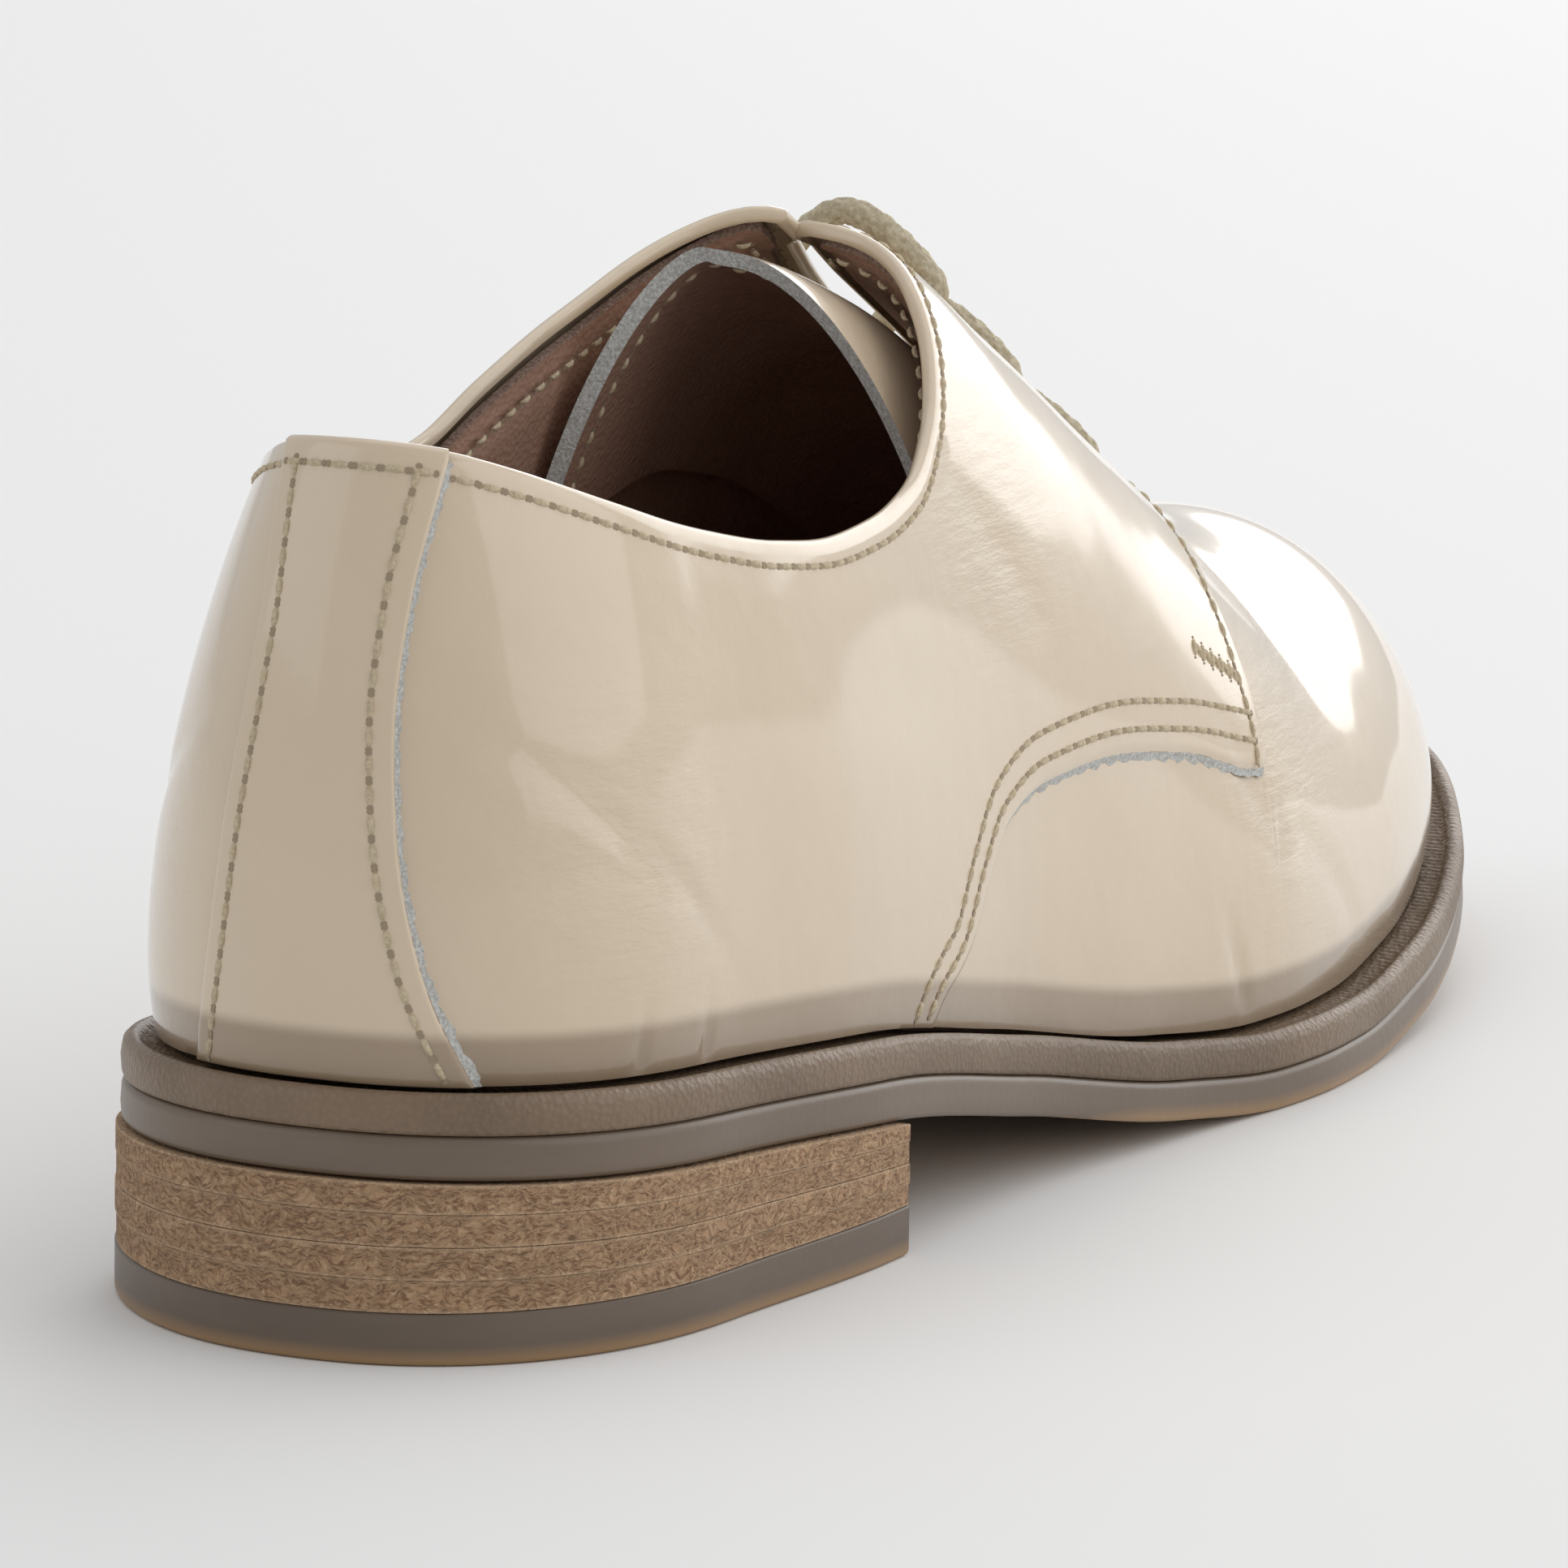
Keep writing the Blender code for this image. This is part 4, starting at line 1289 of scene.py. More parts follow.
@dataclass
class Stitching:
    """Thread stitches along the panels' edges, with a disc of painted shade for each hole."""

    last: Last
    pitch: float = 0.0028
    length: float = 0.0022
    thread: float = 0.00034
    hole: float = 0.00036

    def spread(self, line: Array, normals: Array) -> tuple[Array, Array, Array]:
        """Even places along a line.

        Args:
            line: points of the row.
            normals: the surface's direction at each.

        Returns:
            Places, directions along the row and surface directions.
        """
        run = run_of(line)
        keep = np.concatenate([[True], np.diff(run) > 0])
        run, line, normals = run[keep], line[keep], normals[keep]
        count = max(int(run[-1] / self.pitch), 1)
        at = (np.arange(count) + 0.5) * run[-1] / count
        along = unit(read_line(run, line, at + 3e-4) - read_line(run, line, at - 3e-4))
        return read_line(run, line, at), along, unit(read_line(run, normals, at))

    def build(self, name: str, rows: list[tuple[Array, Array]]) -> bpy.types.Object:
        """Makes all stitches of some rows as one piece.

        Args:
            name: the piece's name.
            rows: a line of points and surface directions for each row.

        Returns:
            The piece.
        """
        u = np.linspace(0, np.pi, 8)
        v = np.linspace(0, 2 * np.pi, 9)
        shape_along = -np.cos(u)[:, None] * np.ones_like(v)
        shape_round = (np.sin(u) ** 0.6)[:, None]
        sheets = []
        for line, normals in rows:
            for place, along, normal in zip(*self.spread(line, normals)):
                across = np.cross(normal, along)
                arch = (np.sin(u)[:, None] - 0.75) * self.thread
                points = (
                    place
                    + shape_along[..., None] * along * self.length / 2
                    + (shape_round * np.cos(v))[..., None] * across * self.thread
                    + (shape_round * np.sin(v) * 0.8 * self.thread + arch)[..., None] * normal
                )
                sheets.append(Sheet(points, True, 0))
                # painted shade: a flat dark disc at each end of a stitch stands in for the shade
                # inside its hole
                for end in (-1, 1):
                    middle = place + along * end * self.length * 0.56 + normal * 0.00006
                    ring = v[:, None]
                    disc = middle + self.hole * (np.cos(ring) * across + np.sin(ring) * along * 0.8)
                    fan = np.stack([np.broadcast_to(middle, disc.shape), disc], 1)
                    sheets.append(Sheet(fan, True, 1))
        mesh = mesh_of(name, sheets, 1e-8)
        return add_piece(name, mesh, [Finish.THREAD, Finish.HOLE_SHADE])


@dataclass
class Seams:
    """Where the rows of stitches run."""

    last: Last
    upper: Upper
    inset: float = 0.0024
    top_inset: float = 0.0021
    second: float = 0.0029
    lining_inset: float = 0.0042
    tack_start: tuple[float, float] = (0.0105, 0.0490)
    tack_step: tuple[float, float] = (0.0009, -0.00045)
    tack_width: float = 0.0022
    tack_corners: int = 11

    def on_wall(
        self, side: float, turns: Array, levels: Array, offset: float
    ) -> tuple[Array, Array]:
        """Points and directions of the wall's outside at turns and levels.

        Args:
            side: LATERAL or MEDIAL.
            turns: ways round the last.
            levels: climbs from the wall's foot (0) to its top edge (1).
            offset: distance off the last.

        Returns:
            The points, and the surface's direction at each.
        """
        points = self.upper.dressed(side, turns, levels, offset)
        top = np.interp(turns, *self.last.tops[side])
        return points, self.last.normal(side, turns, levels * top)

    def top_row(
        self, side: float, start: float, end: float, offset: float, inset: float
    ) -> tuple[Array, Array]:
        """A row below the top line, over a range of shares.

        Args:
            side: LATERAL or MEDIAL.
            start: share of the length at which the row starts.
            end: share at which it ends.
            offset: distance off the last.
            inset: distance below the top line.

        Returns:
            Points and surface directions.
        """
        turns = self.last.turn_at(np.linspace(start, end, 300))
        seat = self.upper.bead * self.upper.bead_seat
        levels = 1 - (1 - self.upper.bead_start(side, turns)) * inset / seat
        return self.on_wall(side, turns, levels, offset)

    def edge_row(self, side: float, rows: tuple, inset: float) -> tuple[Array, Array]:
        """A row inside the quarter's edge, found on the wall from the side view.

        Args:
            side: LATERAL or MEDIAL.
            rows: the edge's table.
            inset: distance from the edge.

        Returns:
            Points and surface directions.
        """
        last = self.last
        share = np.linspace(rows[0].at, rows[-1].at - 0.008, 160)
        height = last.instep_height * smooth(rows, "at", "height", share)
        line = np.column_stack([last.y_at(share), height])
        along = unit(np.gradient(line, axis=0))
        line = line + inset * np.column_stack([-along[:, 1], along[:, 0]])
        turns, levels = self.solve(side, line)
        good = (levels > 0.004) & (levels < 0.985)
        return self.on_wall(side, turns[good], levels[good], last.wall + last.lap)

    def solve(self, side: float, line: Array) -> tuple[Array, Array]:
        """Turns and levels whose wall points have given side-view places.

        Args:
            side: LATERAL or MEDIAL.
            line: places along the shoe and heights.

        Returns:
            Turns and levels.
        """
        last = self.last
        turns = last.turn_at(last.share_of(line[:, 0]))
        levels = np.full(len(turns), 0.35)
        for _ in range(14):
            here = last.wall_point(side, turns, levels, last.wall)[:, 1:]
            dt = (last.wall_point(side, turns + 1e-3, levels, last.wall)[:, 1:] - here) / 1e-3
            dl = (last.wall_point(side, turns, levels + 1e-3, last.wall)[:, 1:] - here) / 1e-3
            miss = line - here
            det = dt[:, 0] * dl[:, 1] - dt[:, 1] * dl[:, 0]
            det = np.where(np.abs(det) < 1e-6, 1e-6, det)
            turn_step = (miss[:, 0] * dl[:, 1] - miss[:, 1] * dl[:, 0]) / det
            level_step = (dt[:, 0] * miss[:, 1] - dt[:, 1] * miss[:, 0]) / det
            turns = np.clip(turns + np.clip(turn_step, -0.02, 0.02), 0.05, 0.9)
            levels = np.clip(levels + np.clip(level_step, -0.08, 0.08), 0, 0.99)
        return turns, levels

    def strap_row(self, side: float, inset: float) -> tuple[Array, Array]:
        """A row inside the strap's edge.

        Args:
            side: LATERAL or MEDIAL.
            inset: distance from the edge.

        Returns:
            Points and surface directions.
        """
        last = self.last
        levels = np.linspace(0.02, 0.97, 120)
        edge = np.array([last.strap_turn(side, level) for level in levels])
        middle = last.wall_point(side, 0 * edge, levels, last.wall)
        width = np.linalg.norm(last.wall_point(side, edge, levels, last.wall) - middle, axis=-1)
        turns = edge * (1 - inset / width)
        points = last.wall_point(side, turns, levels, last.wall + 2 * last.lap)
        return points, last.normal(side, turns, levels * np.interp(turns, *last.tops[side]))

    def tack(self, side: float) -> list[tuple[Array, Array]]:
        """The zigzag tack behind the facing's front edge.

        Args:
            side: LATERAL or MEDIAL.

        Returns:
            Points and surface directions of each stitch.
        """
        k = np.arange(self.tack_corners)
        y = self.tack_start[0] + self.tack_step[0] * k
        z = self.tack_start[1] + self.tack_step[1] * k + self.tack_width * (k % 2)
        corners = np.column_stack([y, z])
        turns, levels = self.solve(side, corners)
        points, normals = self.on_wall(side, turns, levels, self.last.wall + self.last.lap)
        return [(points[k : k + 2], normals[k : k + 2]) for k in range(len(points) - 1)]

    def build(self) -> list[bpy.types.Object]:
        """Builds the outside rows, the tack and the rows inside the collar.

        Returns:
            The pieces.
        """
        last = self.last
        stitching = Stitching(last)
        outer, strap = last.wall + last.lap, last.wall + 2 * last.lap
        rows, tacks = [], []
        for side in SIDES:
            edge = last.strap_turn(side, 0.97)
            clear, inside = last.share_at(edge * 1.07), last.share_at(edge * 0.90)
            rows.append(self.top_row(side, clear, last.throat_end - 0.012, outer, self.top_inset))
            rows.append(self.top_row(side, 0.0, inside, strap, self.top_inset))
            rows.append(self.edge_row(side, last.seam, self.inset))
            rows.append(self.edge_row(side, last.seam, self.inset + self.second))
            rows.append(self.edge_row(side, last.facing[:-1], self.inset))
            rows.append(self.strap_row(side, self.inset))
            tacks += self.tack(side)
        inner = []
        for side in SIDES:
            points, normals = self.top_row(side, 0.0, last.throat_top, -0.0004, self.lining_inset)
            inner.append((points, -normals))
        tight = Stitching(last, pitch=0.0022, length=0.0021, hole=0.0002)
        return [
            stitching.build("stitches", rows),
            tight.build("bar_tacks", tacks),
            Stitching(last, length=0.0017).build("lining_stitches", inner),
        ]


# Tongue and lace


@dataclass
class Tongue:
    """Patent outside, lining inside and a raw edge all round."""

    last: Last
    columns: int = 90
    rows: int = 60
    ease: int = 12
    stitch_inset: float = 0.0042

    def grid(self, side: float, offset: float) -> Array:
        """Points of one face of the tongue on one side.

        Args:
            side: LATERAL or MEDIAL.
            offset: distance off the tongue's inside.

        Returns:
            A grid of points, from back to front and from low to the ridge.
        """
        last = self.last
        along = np.linspace(0, 1, self.columns)[:, None]
        low = smooth(last.tongue, "along", "low", along)
        rises = low + (1 - low) * np.linspace(0, 1, self.rows)[None, :]
        climb = (rises - low) / (1 - low)
        lateral, medial, ridge = last.tongue_back
        back_low = lateral if side > 0 else medial
        back = back_low + (ridge - back_low) * climb**2 * (3 - 2 * climb)
        start = last.turn_at(back)
        turns = start + (last.turn_at(last.tongue_front) - start) * along
        drop = last.tongue_drop * smooth(last.tongue, "along", "drop", along) * climb
        return last.skin(side, turns, rises, offset - last.tongue_gap - last.tongue_wall - drop)

    def whole(self, offset: float) -> Array:
        """Points of one face from its lateral to its medial edge, eased over the ridge.

        Args:
            offset: distance off the tongue's inside.

        Returns:
            A grid of points.
        """
        lateral, medial = self.grid(LATERAL, offset), self.grid(MEDIAL, offset)
        points = np.concatenate([lateral, medial[:, -2::-1]], 1)
        kernel = np.hanning(2 * self.ease + 3)[1:-1]
        kernel /= kernel.sum()
        padded = np.pad(points, ((0, 0), (self.ease, self.ease), (0, 0)), "edge")
        eased = sum(w * padded[:, i : i + points.shape[1]] for i, w in enumerate(kernel))
        near = 1 - step(0.5, 1.0, np.abs(np.linspace(-1, 1, points.shape[1])))
        return points + (eased - points) * near[None, :, None]

    def build(self) -> list[bpy.types.Object]:
        """Builds the tongue and its row of stitches.

        Returns:
            The pieces.
        """
        outside, inside = self.whole(self.last.tongue_wall), self.whole(0.0)
        sheets = [
            # a foot of 1 keeps the painted reflection of the welt off the tongue
            Sheet(outside, False, 0, {"foot": np.ones(outside.shape[:2])}),
            Sheet(inside[1:], True, 1),
            rim_sheet(outside[0], inside[1], False, 2),
            rim_sheet(outside[-1], inside[-1], True, 2),
            rim_sheet(outside[1:, 0], inside[1:, 0], True, 2),
            rim_sheet(outside[1:, -1], inside[1:, -1], False, 2),
        ]
        step_in = np.maximum(np.linalg.norm(inside[1] - inside[0], axis=-1), 1e-5)
        at = np.clip(self.stitch_inset / step_in, 0, 8)
        k = np.floor(at).astype(int)
        row = np.arange(inside.shape[1])
        line = inside[k, row] + (at - k)[:, None] * (inside[k + 1, row] - inside[k, row])
        rows = [(line, unit(inside[4] - outside[4]))]
        finishes = [Finish.PATENT, Finish.LINING, Finish.RAW]
        mesh = mesh_of("tongue_leather", sheets)
        item = add_piece("tongue_leather", mesh, finishes)
        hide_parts("tongue")
        return [item, Stitching(self.last, length=0.0017).build("tongue_stitches", rows)]


@dataclass
class Lacing:
    """Three bars of round braided cord, each from one eyelet to the other."""

    last: Last
    rings: int = 150
    sides: int = 36
    plait: float = 0.0052
    arch_share: float = 1.15
    braid_core: float = 0.80
    braid_relief: float = 0.26
    mouth: float = 0.0019
    mouth_lift: float = 0.00008

    def eyelet(self, side: float, share: float) -> tuple[Array, Array]:
        """An eyelet's place and axis.

        Args:
            side: LATERAL or MEDIAL.
            share: its share of the length.

        Returns:
            Its place and its axis.
        """
        turn = self.last.turn_at(share)
        rise = self.last.rise_at_reach(side, turn, self.last.eyelet_reach)
        return self.last.point(side, turn, rise), self.last.normal(side, turn, rise)

    def route(self, share: float) -> Array:
        """The middle line of a bar.

        Args:
            share: the eyelets' share of the length.

        Returns:
            Points of the line.
        """
        last = self.last
        (a, up_a), (b, up_b) = self.eyelet(LATERAL, share), self.eyelet(MEDIAL, share)
        clear = last.wall + last.lap + last.clearance + last.lace / 2
        peak = (a + b) / 2
        ridge = last.skin(LATERAL, last.turn_at(share), 1.0, 0.0)[2]
        peak[2] = ridge + clear + last.lace_arch * self.arch_share
        half = [a + up_a * last.wall / 4, a + up_a * last.wall, a + up_a * clear]
        other = [b + up_b * clear, b + up_b * last.wall, b + up_b * last.wall / 4]
        keys = np.array([*half, peak, *other])
        u = np.linspace(0, len(keys) - 1, self.rings)
        at = np.arange(len(keys), dtype=float)
        line = [smooth_values(at, keys[:, i], u) for i in range(3)]
        kernel = np.hanning(19) / np.hanning(19).sum()
        eased = [np.convolve(np.pad(values, 9, "edge"), kernel, "valid") for values in line]
        return np.column_stack(eased)

    def bar(self, index: int, share: float) -> bpy.types.Object:
        """One bar, with its braid in relief.

        Args:
            index: its number, from the top.
            share: the eyelets' share of the length.

        Returns:
            The piece.
        """
        line = self.route(share)
        run = run_of(line)
        along = unit(np.gradient(line, axis=0))
        side = unit(np.cross(along, np.array([0.0, 1.0, 0.15])))
        up = np.cross(side, along)
        angle = np.linspace(0, 2 * np.pi, self.sides + 1)
        turn = 2 * np.pi * run[:, None] / self.plait
        weave = np.sqrt(np.abs(np.sin(3 * angle + turn) * np.sin(3 * angle - turn)))
        radius = self.last.lace / 2 * (self.braid_core + self.braid_relief * weave)
        radius *= np.sqrt(np.clip(np.minimum(run, run[-1] - run) / 0.0006, 0, 1))[:, None]
        cos, sin = np.cos(angle)[None, :, None], np.sin(angle)[None, :, None]
        ring = cos * side[:, None] + sin * up[:, None]
        sheet = Sheet(line[:, None] + radius[..., None] * ring, True)
        name = f"lace_{index}"
        item = add_piece(name, mesh_of(name, [sheet]), [Finish.LACE])
        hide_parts(f"lace_bar_{index}")
        return item

    def hole_shades(self) -> bpy.types.Object:
        """Discs of painted shade in the mouths of the punched holes that the bars run into.

        Returns:
            The piece.
        """
        angle = np.linspace(0, 2 * np.pi, self.sides + 1)[:, None]
        lift = self.last.wall + self.last.lap + self.mouth_lift
        sheets = []
        for share in self.last.eyelets:
            for side in SIDES:
                middle, up = self.eyelet(side, share)
                middle = middle + up * lift
                along = unit(np.cross(up, np.array([1.0, 0.0, 0.0])))
                across = np.cross(up, along)
                ring = middle + self.mouth * (np.cos(angle) * along + np.sin(angle) * across)
                # painted shade: a near-black disc stands in for the shade inside each hole
                disc = np.stack([np.broadcast_to(middle - up * self.mouth_lift, ring.shape), ring], 1)
                sheets.append(Sheet(disc, False))
        mesh = mesh_of("eyelet_hole_shade", sheets, 1e-8)
        return add_piece("eyelet_hole_shade", mesh, [Finish.MOUTH_SHADE])

    def build(self) -> list[bpy.types.Object]:
        """Builds the bars and the painted shade in the mouths of their holes."""
        bars = [self.bar(i + 1, share) for i, share in enumerate(self.last.eyelets)]
        return [*bars, self.hole_shades()]


# Sole


@dataclass
class SoleUnit:
    """Outsole, ribbed welt, sock, heel lifts and top piece."""

    last: Last
    columns: int = 420
    welt_columns: int = 1500
    rib_pitch: float = 0.00125
    rib_depth: float = 0.00028
    tread_pitch: float = 0.006
    tread_depth: float = 0.0005
    lift_bevel: float = 0.00010
    lift_insets: tuple = (0.00015, 0.0, 0.00012, 0.00003)

    def loops(self, turns: Array, levels: list[tuple]) -> Array:
        """Loops of points up a plate's side: medial front to back, then lateral back to front.

        Args:
            turns: ways round the last.
            levels: inset, height line and lift of each loop.

        Returns:
            The loops.
        """
        loops = []
        for inset, line, lift in levels:
            medial = self.last.sole_edge(MEDIAL, turns[::-1], inset)
            lateral = self.last.sole_edge(LATERAL, turns, inset)[1:]
            plan = np.concatenate([medial, lateral])
            loops.append(np.column_stack([plan, line(self.last.share_of(plan[:, 1])) + lift]))
        return np.array(loops)

    def plate(
        self, name: str, node: str, turns: Array, levels: list[tuple], finish: Finish
    ) -> bpy.types.Object:
        """A plate with a fine side wall, a bottom and a top.

        Args:
            name: the piece's name.
            node: the node that it stands for.
            turns: its columns.
            levels: inset, height line and lift of each loop of its side.
            finish: its finish.

        Returns:
            The piece.
        """
        loops = self.loops(turns, levels)
        count = loops.shape[1]
        heights = loops[:, count // 2, 2]
        rise = (heights - heights[0]) / (heights[-1] - heights[0])
        side = loops.transpose(1, 0, 2)
        dull = 0.0
        if node == "outsole":
            dull = 1 - step(0.32, 0.46, self.last.share_of(side[..., 1]))
        sheets = [Sheet(side, True, 0, {"level": rise + dull * np.ones(side.shape[:2])})]
        half = (count + 1) // 2
        for k, flip, level in ((0, False, 0.0), (len(levels) - 1, True, 1.0)):
            medial, lateral = loops[k][:half][::-1], loops[k][half - 1 :]
            across = np.linspace(0, 1, 13)[None, :, None]
            grid = medial[:, None] * (1 - across) + lateral[:, None] * across
            if k == 0:
                grid = self.tread(grid, node)
            sheets.append(Sheet(grid, flip, 0, {"level": np.full(grid.shape[:2], level)}))
        if turns[-1] < 1:
            front = np.stack([loops[:, 0], loops[:, -1]], 1).transpose(1, 0, 2)
            sheets.append(Sheet(front, False, 0, {"level": np.broadcast_to(rise, front.shape[:2])}))
        item = add_piece(name, mesh_of(name, sheets), [finish])
        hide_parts(node)
        return item

    def tread(self, grid: Array, node: str) -> Array:
        """Shallow cross grooves under the forefoot and the heel's top piece.

        Args:
            grid: the plate's underside.
            node: the node that it stands for.

        Returns:
            The underside with its grooves.
        """
        if node not in ("outsole", "heel_top_piece"):
            return grid
        share = self.last.share_of(grid[..., 1])
        zone = step(0.02, 0.05, share)
        if node == "outsole":
            zone = step(0.50, 0.54, share) * (1 - step(0.86, 0.90, share))
        rows = (np.mod(grid[..., 1] / self.tread_pitch, 1) < 0.25).astype(float)
        inner = np.zeros(grid.shape[1])
        inner[2:-2] = 1.0
        grid = grid.copy()
        grid[..., 2] += self.tread_depth * zone * rows * inner
        return grid

    def outsole(self) -> bpy.types.Object:
        """The outsole, with a groove where it meets the welt.

        Returns:
            The piece.
        """
        last = self.last
        turns = np.linspace(0, 1, self.columns)
        r = last.edge_round
        levels = [
            (r, last.sole_line, 0.0),
            (0.3 * r, last.sole_line, 0.3 * r),
            (0.0, last.sole_line, r),
            (-0.0001, last.sole_line, last.outsole * 0.4),
            (0.0, last.sole_line, last.outsole * 0.75),
            (0.0, last.welt_line, -r - last.clearance),
            (0.35 * r, last.welt_line, -0.5 * r),
            (r, last.welt_line, -0.1 * r),
        ]
        return self.plate("outsole_rubber", "outsole", turns, levels, Finish.SOLE)

    def welt(self) -> bpy.types.Object:
        """The welt: a ribbed shelf against the upper and a smooth rounded rim.

        Returns:
            The piece.
        """
        last = self.last
        r, t = last.edge_round, last.welt
        section = [
            WeltRow(last.welt_width, 0.0, 0),
            WeltRow(r, 0.0, 0),
            WeltRow(0.3 * r, 0.25 * r, 0),
            WeltRow(0.0, r, 0),
            WeltRow(-0.0001, t * 0.5, 0),
            WeltRow(0.0, t - 2.2 * r, 0),
            WeltRow(0.25 * r, t - r, 0),
            WeltRow(r, t - 0.25 * r, 0),
            WeltRow(1.8 * r, t, 0),
            WeltRow(2.6 * r, t - 0.1 * r, 0),
            WeltRow(3.4 * r, t - 0.9 * r, 0.5),
            WeltRow(4.0 * r, t - 1.3 * r, 1),
            WeltRow(5.5 * r, t - 1.1 * r, 1),
            WeltRow(7.5 * r, t - 0.9 * r, 1),
            WeltRow(last.inset, t - 0.8 * r, 0),
            WeltRow(last.welt_width, t - 0.9 * r, 0),
            WeltRow(last.welt_width, 0.0, 0),
        ]
        ribbed = np.array([row.ribbed for row in section])
        turns = np.linspace(0, 1, self.welt_columns)
        plans = []
        for inset, lift, _ in section:
            lateral = last.sole_edge(LATERAL, turns, inset)
            medial = last.sole_edge(MEDIAL, turns[::-1], inset)
            plan = np.concatenate([lateral, medial])
            height = last.welt_line(last.share_of(plan[:, 1])) + lift
            plans.append(np.column_stack([plan, height]))
        grid = np.array(plans).transpose(1, 0, 2)
        wave = np.sin(2 * np.pi * run_of(grid[:, 1]) / self.rib_pitch)
        grid[..., 2] += self.rib_depth * (0.5 * wave[:, None] - 0.2) * ribbed
        mesh = mesh_of("welt_strip", [Sheet(grid, True)])
        item = add_piece("welt_strip", mesh, [Finish.WELT])
        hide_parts("welt")
        return item

    def sock(self) -> bpy.types.Object:
        """The sock and board that the foot stands on.

        Returns:
            The piece.
        """
        last = self.last
        inset = last.inset + 3 * last.clearance
        levels = [
            (last.welt_width + last.clearance, last.welt_line, 0.0),
            (last.welt_width + last.clearance, last.feather_line, last.clearance),
            (inset, last.feather_line, last.clearance),
            (inset, last.feather_line, last.clearance + 0.7 * last.insole),
            (inset + 0.0008, last.feather_line, last.clearance + last.insole),
        ]
        turns = np.linspace(0, 1, 200)
        return self.plate("sock", "insole", turns, levels, Finish.SOCK)

    def stack_line(self, level: float) -> Callable[[Array], Array]:
        """Height of a level of the heel's stack, from its top piece (0) to the sole (1)."""
        top = self.last.top_piece
        return lambda share: top + (self.last.sole_line(share) - top) * level

    def heel(self) -> list[bpy.types.Object]:
        """The top piece and the lifts, each a little in or out of line.

        Returns:
            The pieces.
        """
        last = self.last
        turns = np.linspace(0, last.turn_at(last.heel_share), 220)
        flare, r = last.heel_flare, last.edge_round
        floor = np.zeros_like
        levels = [
            (r - flare, floor, 0.0),
            (0.3 * r - flare, floor, 0.3 * r),
            (-flare, floor, r),
            (-flare, floor, last.top_piece - 0.3 * r),
            (0.4 * r - flare, floor, last.top_piece),
        ]
        finish = Finish.TOP_PIECE
        pieces = [self.plate("top_piece", "heel_top_piece", turns, levels, finish)]
        bevel = self.lift_bevel
        for k, inset in zip(range(last.lifts), self.lift_insets):
            low, high = self.stack_line(k / last.lifts), self.stack_line((k + 1) / last.lifts)
            top = 0.0 if k < last.lifts - 1 else -last.clearance
            levels = [
                (bevel + inset - flare, low, 0.00005),
                (inset - flare, low, bevel),
                (inset - flare, high, top - bevel),
                (bevel + inset - flare, high, top),
            ]
            name, node = f"lift_{k + 1}", f"heel_lift_{k + 1}"
            pieces.append(self.plate(name, node, turns, levels, Finish.STACK))
        return pieces

    def build(self) -> list[bpy.types.Object]:
        """Builds the whole sole unit."""
        return [self.outsole(), self.welt(), self.sock(), *self.heel()]


# Studio


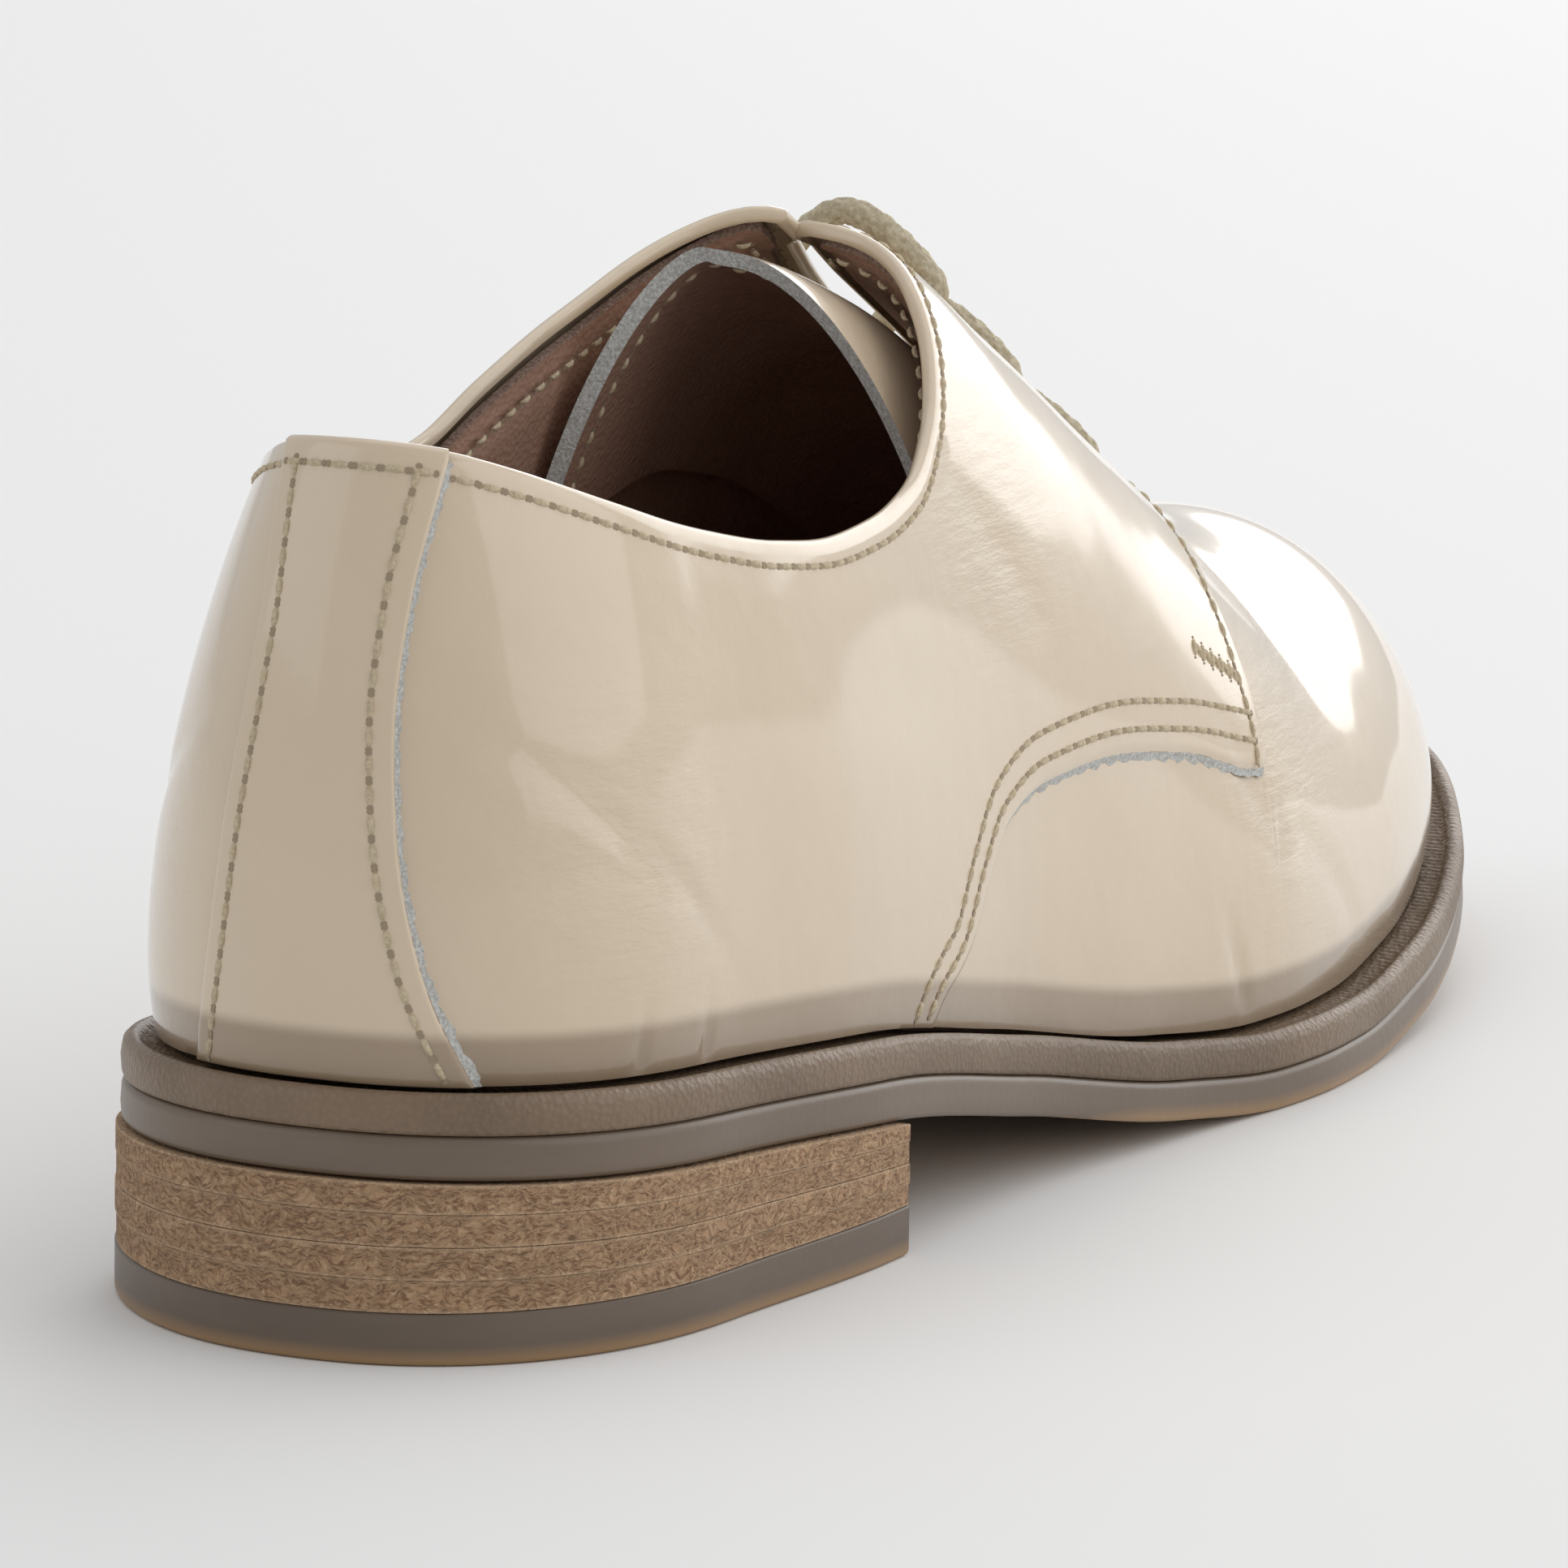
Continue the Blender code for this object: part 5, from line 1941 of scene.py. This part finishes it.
@dataclass
class Studio:
    """A pale floor, soft lights and the camera."""

    eye: tuple[float, float, float] = (0.44554, -1.05531, 0.24386)
    right: tuple[float, float, float] = (0.91677, 0.39911, 0.01576)
    up: tuple[float, float, float] = (-0.08613, 0.15901, 0.98351)
    lens: float = 247.9
    sensor: float = 36.0
    floor_tint: Colour = (0.86, 0.86, 0.86)
    sky: float = 0.52
    aim: tuple[float, float, float] = (0.0, 0.0, 0.05)
    lamps: tuple = (
        Lamp("top_box", (0.10, 0.30, 1.40), (1.6, 1.2), 4.0),
        Lamp("side_box", (1.50, 0.20, 0.80), (1.7, 1.4), 7.0),
        Lamp("back_box", (-1.40, -1.30, 0.90), (1.5, 1.2), 3.2),
        Lamp("front_box", (0.35, 2.20, 0.98), (3.0, 1.5), 28.0),
    )

    def camera(self) -> bpy.types.Object:
        """The camera at the reference view.

        Returns:
            The camera.
        """
        data = bpy.data.cameras.new("camera")
        data.lens, data.sensor_width, data.sensor_fit = self.lens, self.sensor, "HORIZONTAL"
        item = bpy.data.objects.new("camera", data)
        bpy.context.scene.collection.objects.link(item)
        right, up = Vector(self.right), Vector(self.up)
        back = right.cross(up)
        basis = Matrix((right, up, back)).transposed().to_4x4()
        item.matrix_world = Matrix.Translation(self.eye) @ basis
        bpy.context.scene.camera = item
        return item

    def floor(self) -> None:
        """A large pale floor."""
        mesh = bpy.data.meshes.new("floor")
        bm = bmesh.new()
        bmesh.ops.create_grid(bm, x_segments=1, y_segments=1, size=12.0)
        bm.to_mesh(mesh)
        bm.free()
        item = bpy.data.objects.new("floor", mesh)
        item.location = (0.0, 0.0, -0.00002)
        bpy.context.scene.collection.objects.link(item)
        mesh.materials.append(Plain("floor", self.floor_tint, 0.8).material())

    def lamp(self, name: str, place: tuple, size: tuple, watts: float) -> None:
        """A soft box that faces the shoe.

        Args:
            name: the lamp's name.
            place: where it stands.
            size: its width and height.
            watts: its power.
        """
        data = bpy.data.lights.new(name, "AREA")
        data.shape, data.size, data.size_y, data.energy = "RECTANGLE", size[0], size[1], watts
        item = bpy.data.objects.new(name, data)
        bpy.context.scene.collection.objects.link(item)
        item.location = place
        aim = Vector(self.aim) - Vector(place)
        item.rotation_euler = aim.to_track_quat("-Z", "Y").to_euler()

    def build(self) -> None:
        """Sets the stage."""
        world = bpy.data.worlds.new("studio")
        bpy.context.scene.world = world
        bpy.context.scene.view_settings.view_transform = "Standard"
        world.use_nodes = True
        background = world.node_tree.nodes["Background"]
        background.inputs["Color"].default_value = (1.0, 1.0, 1.0, 1.0)
        background.inputs["Strength"].default_value = self.sky
        self.floor()
        for lamp in self.lamps:
            self.lamp(*lamp)
        self.camera()


def main() -> None:
    """Builds the shoe's pieces and its stage, in order."""
    logging.basicConfig(level=logging.INFO, format="%(name)s: %(message)s")
    Studio().build()
    upper = Upper(LAST)
    groups = {
        "sole": SoleUnit(LAST).build,
        "upper": upper.build,
        "tongue": Tongue(LAST).build,
        "lace": Lacing(LAST).build,
        "stitches": Seams(LAST, upper).build,
    }
    for name, build in groups.items():
        for piece in build():
            log.info("%s: %s, %d faces", name, piece.name, len(piece.data.polygons))
    bpy.context.view_layer.update()


if __name__ == "__main__":
    main()
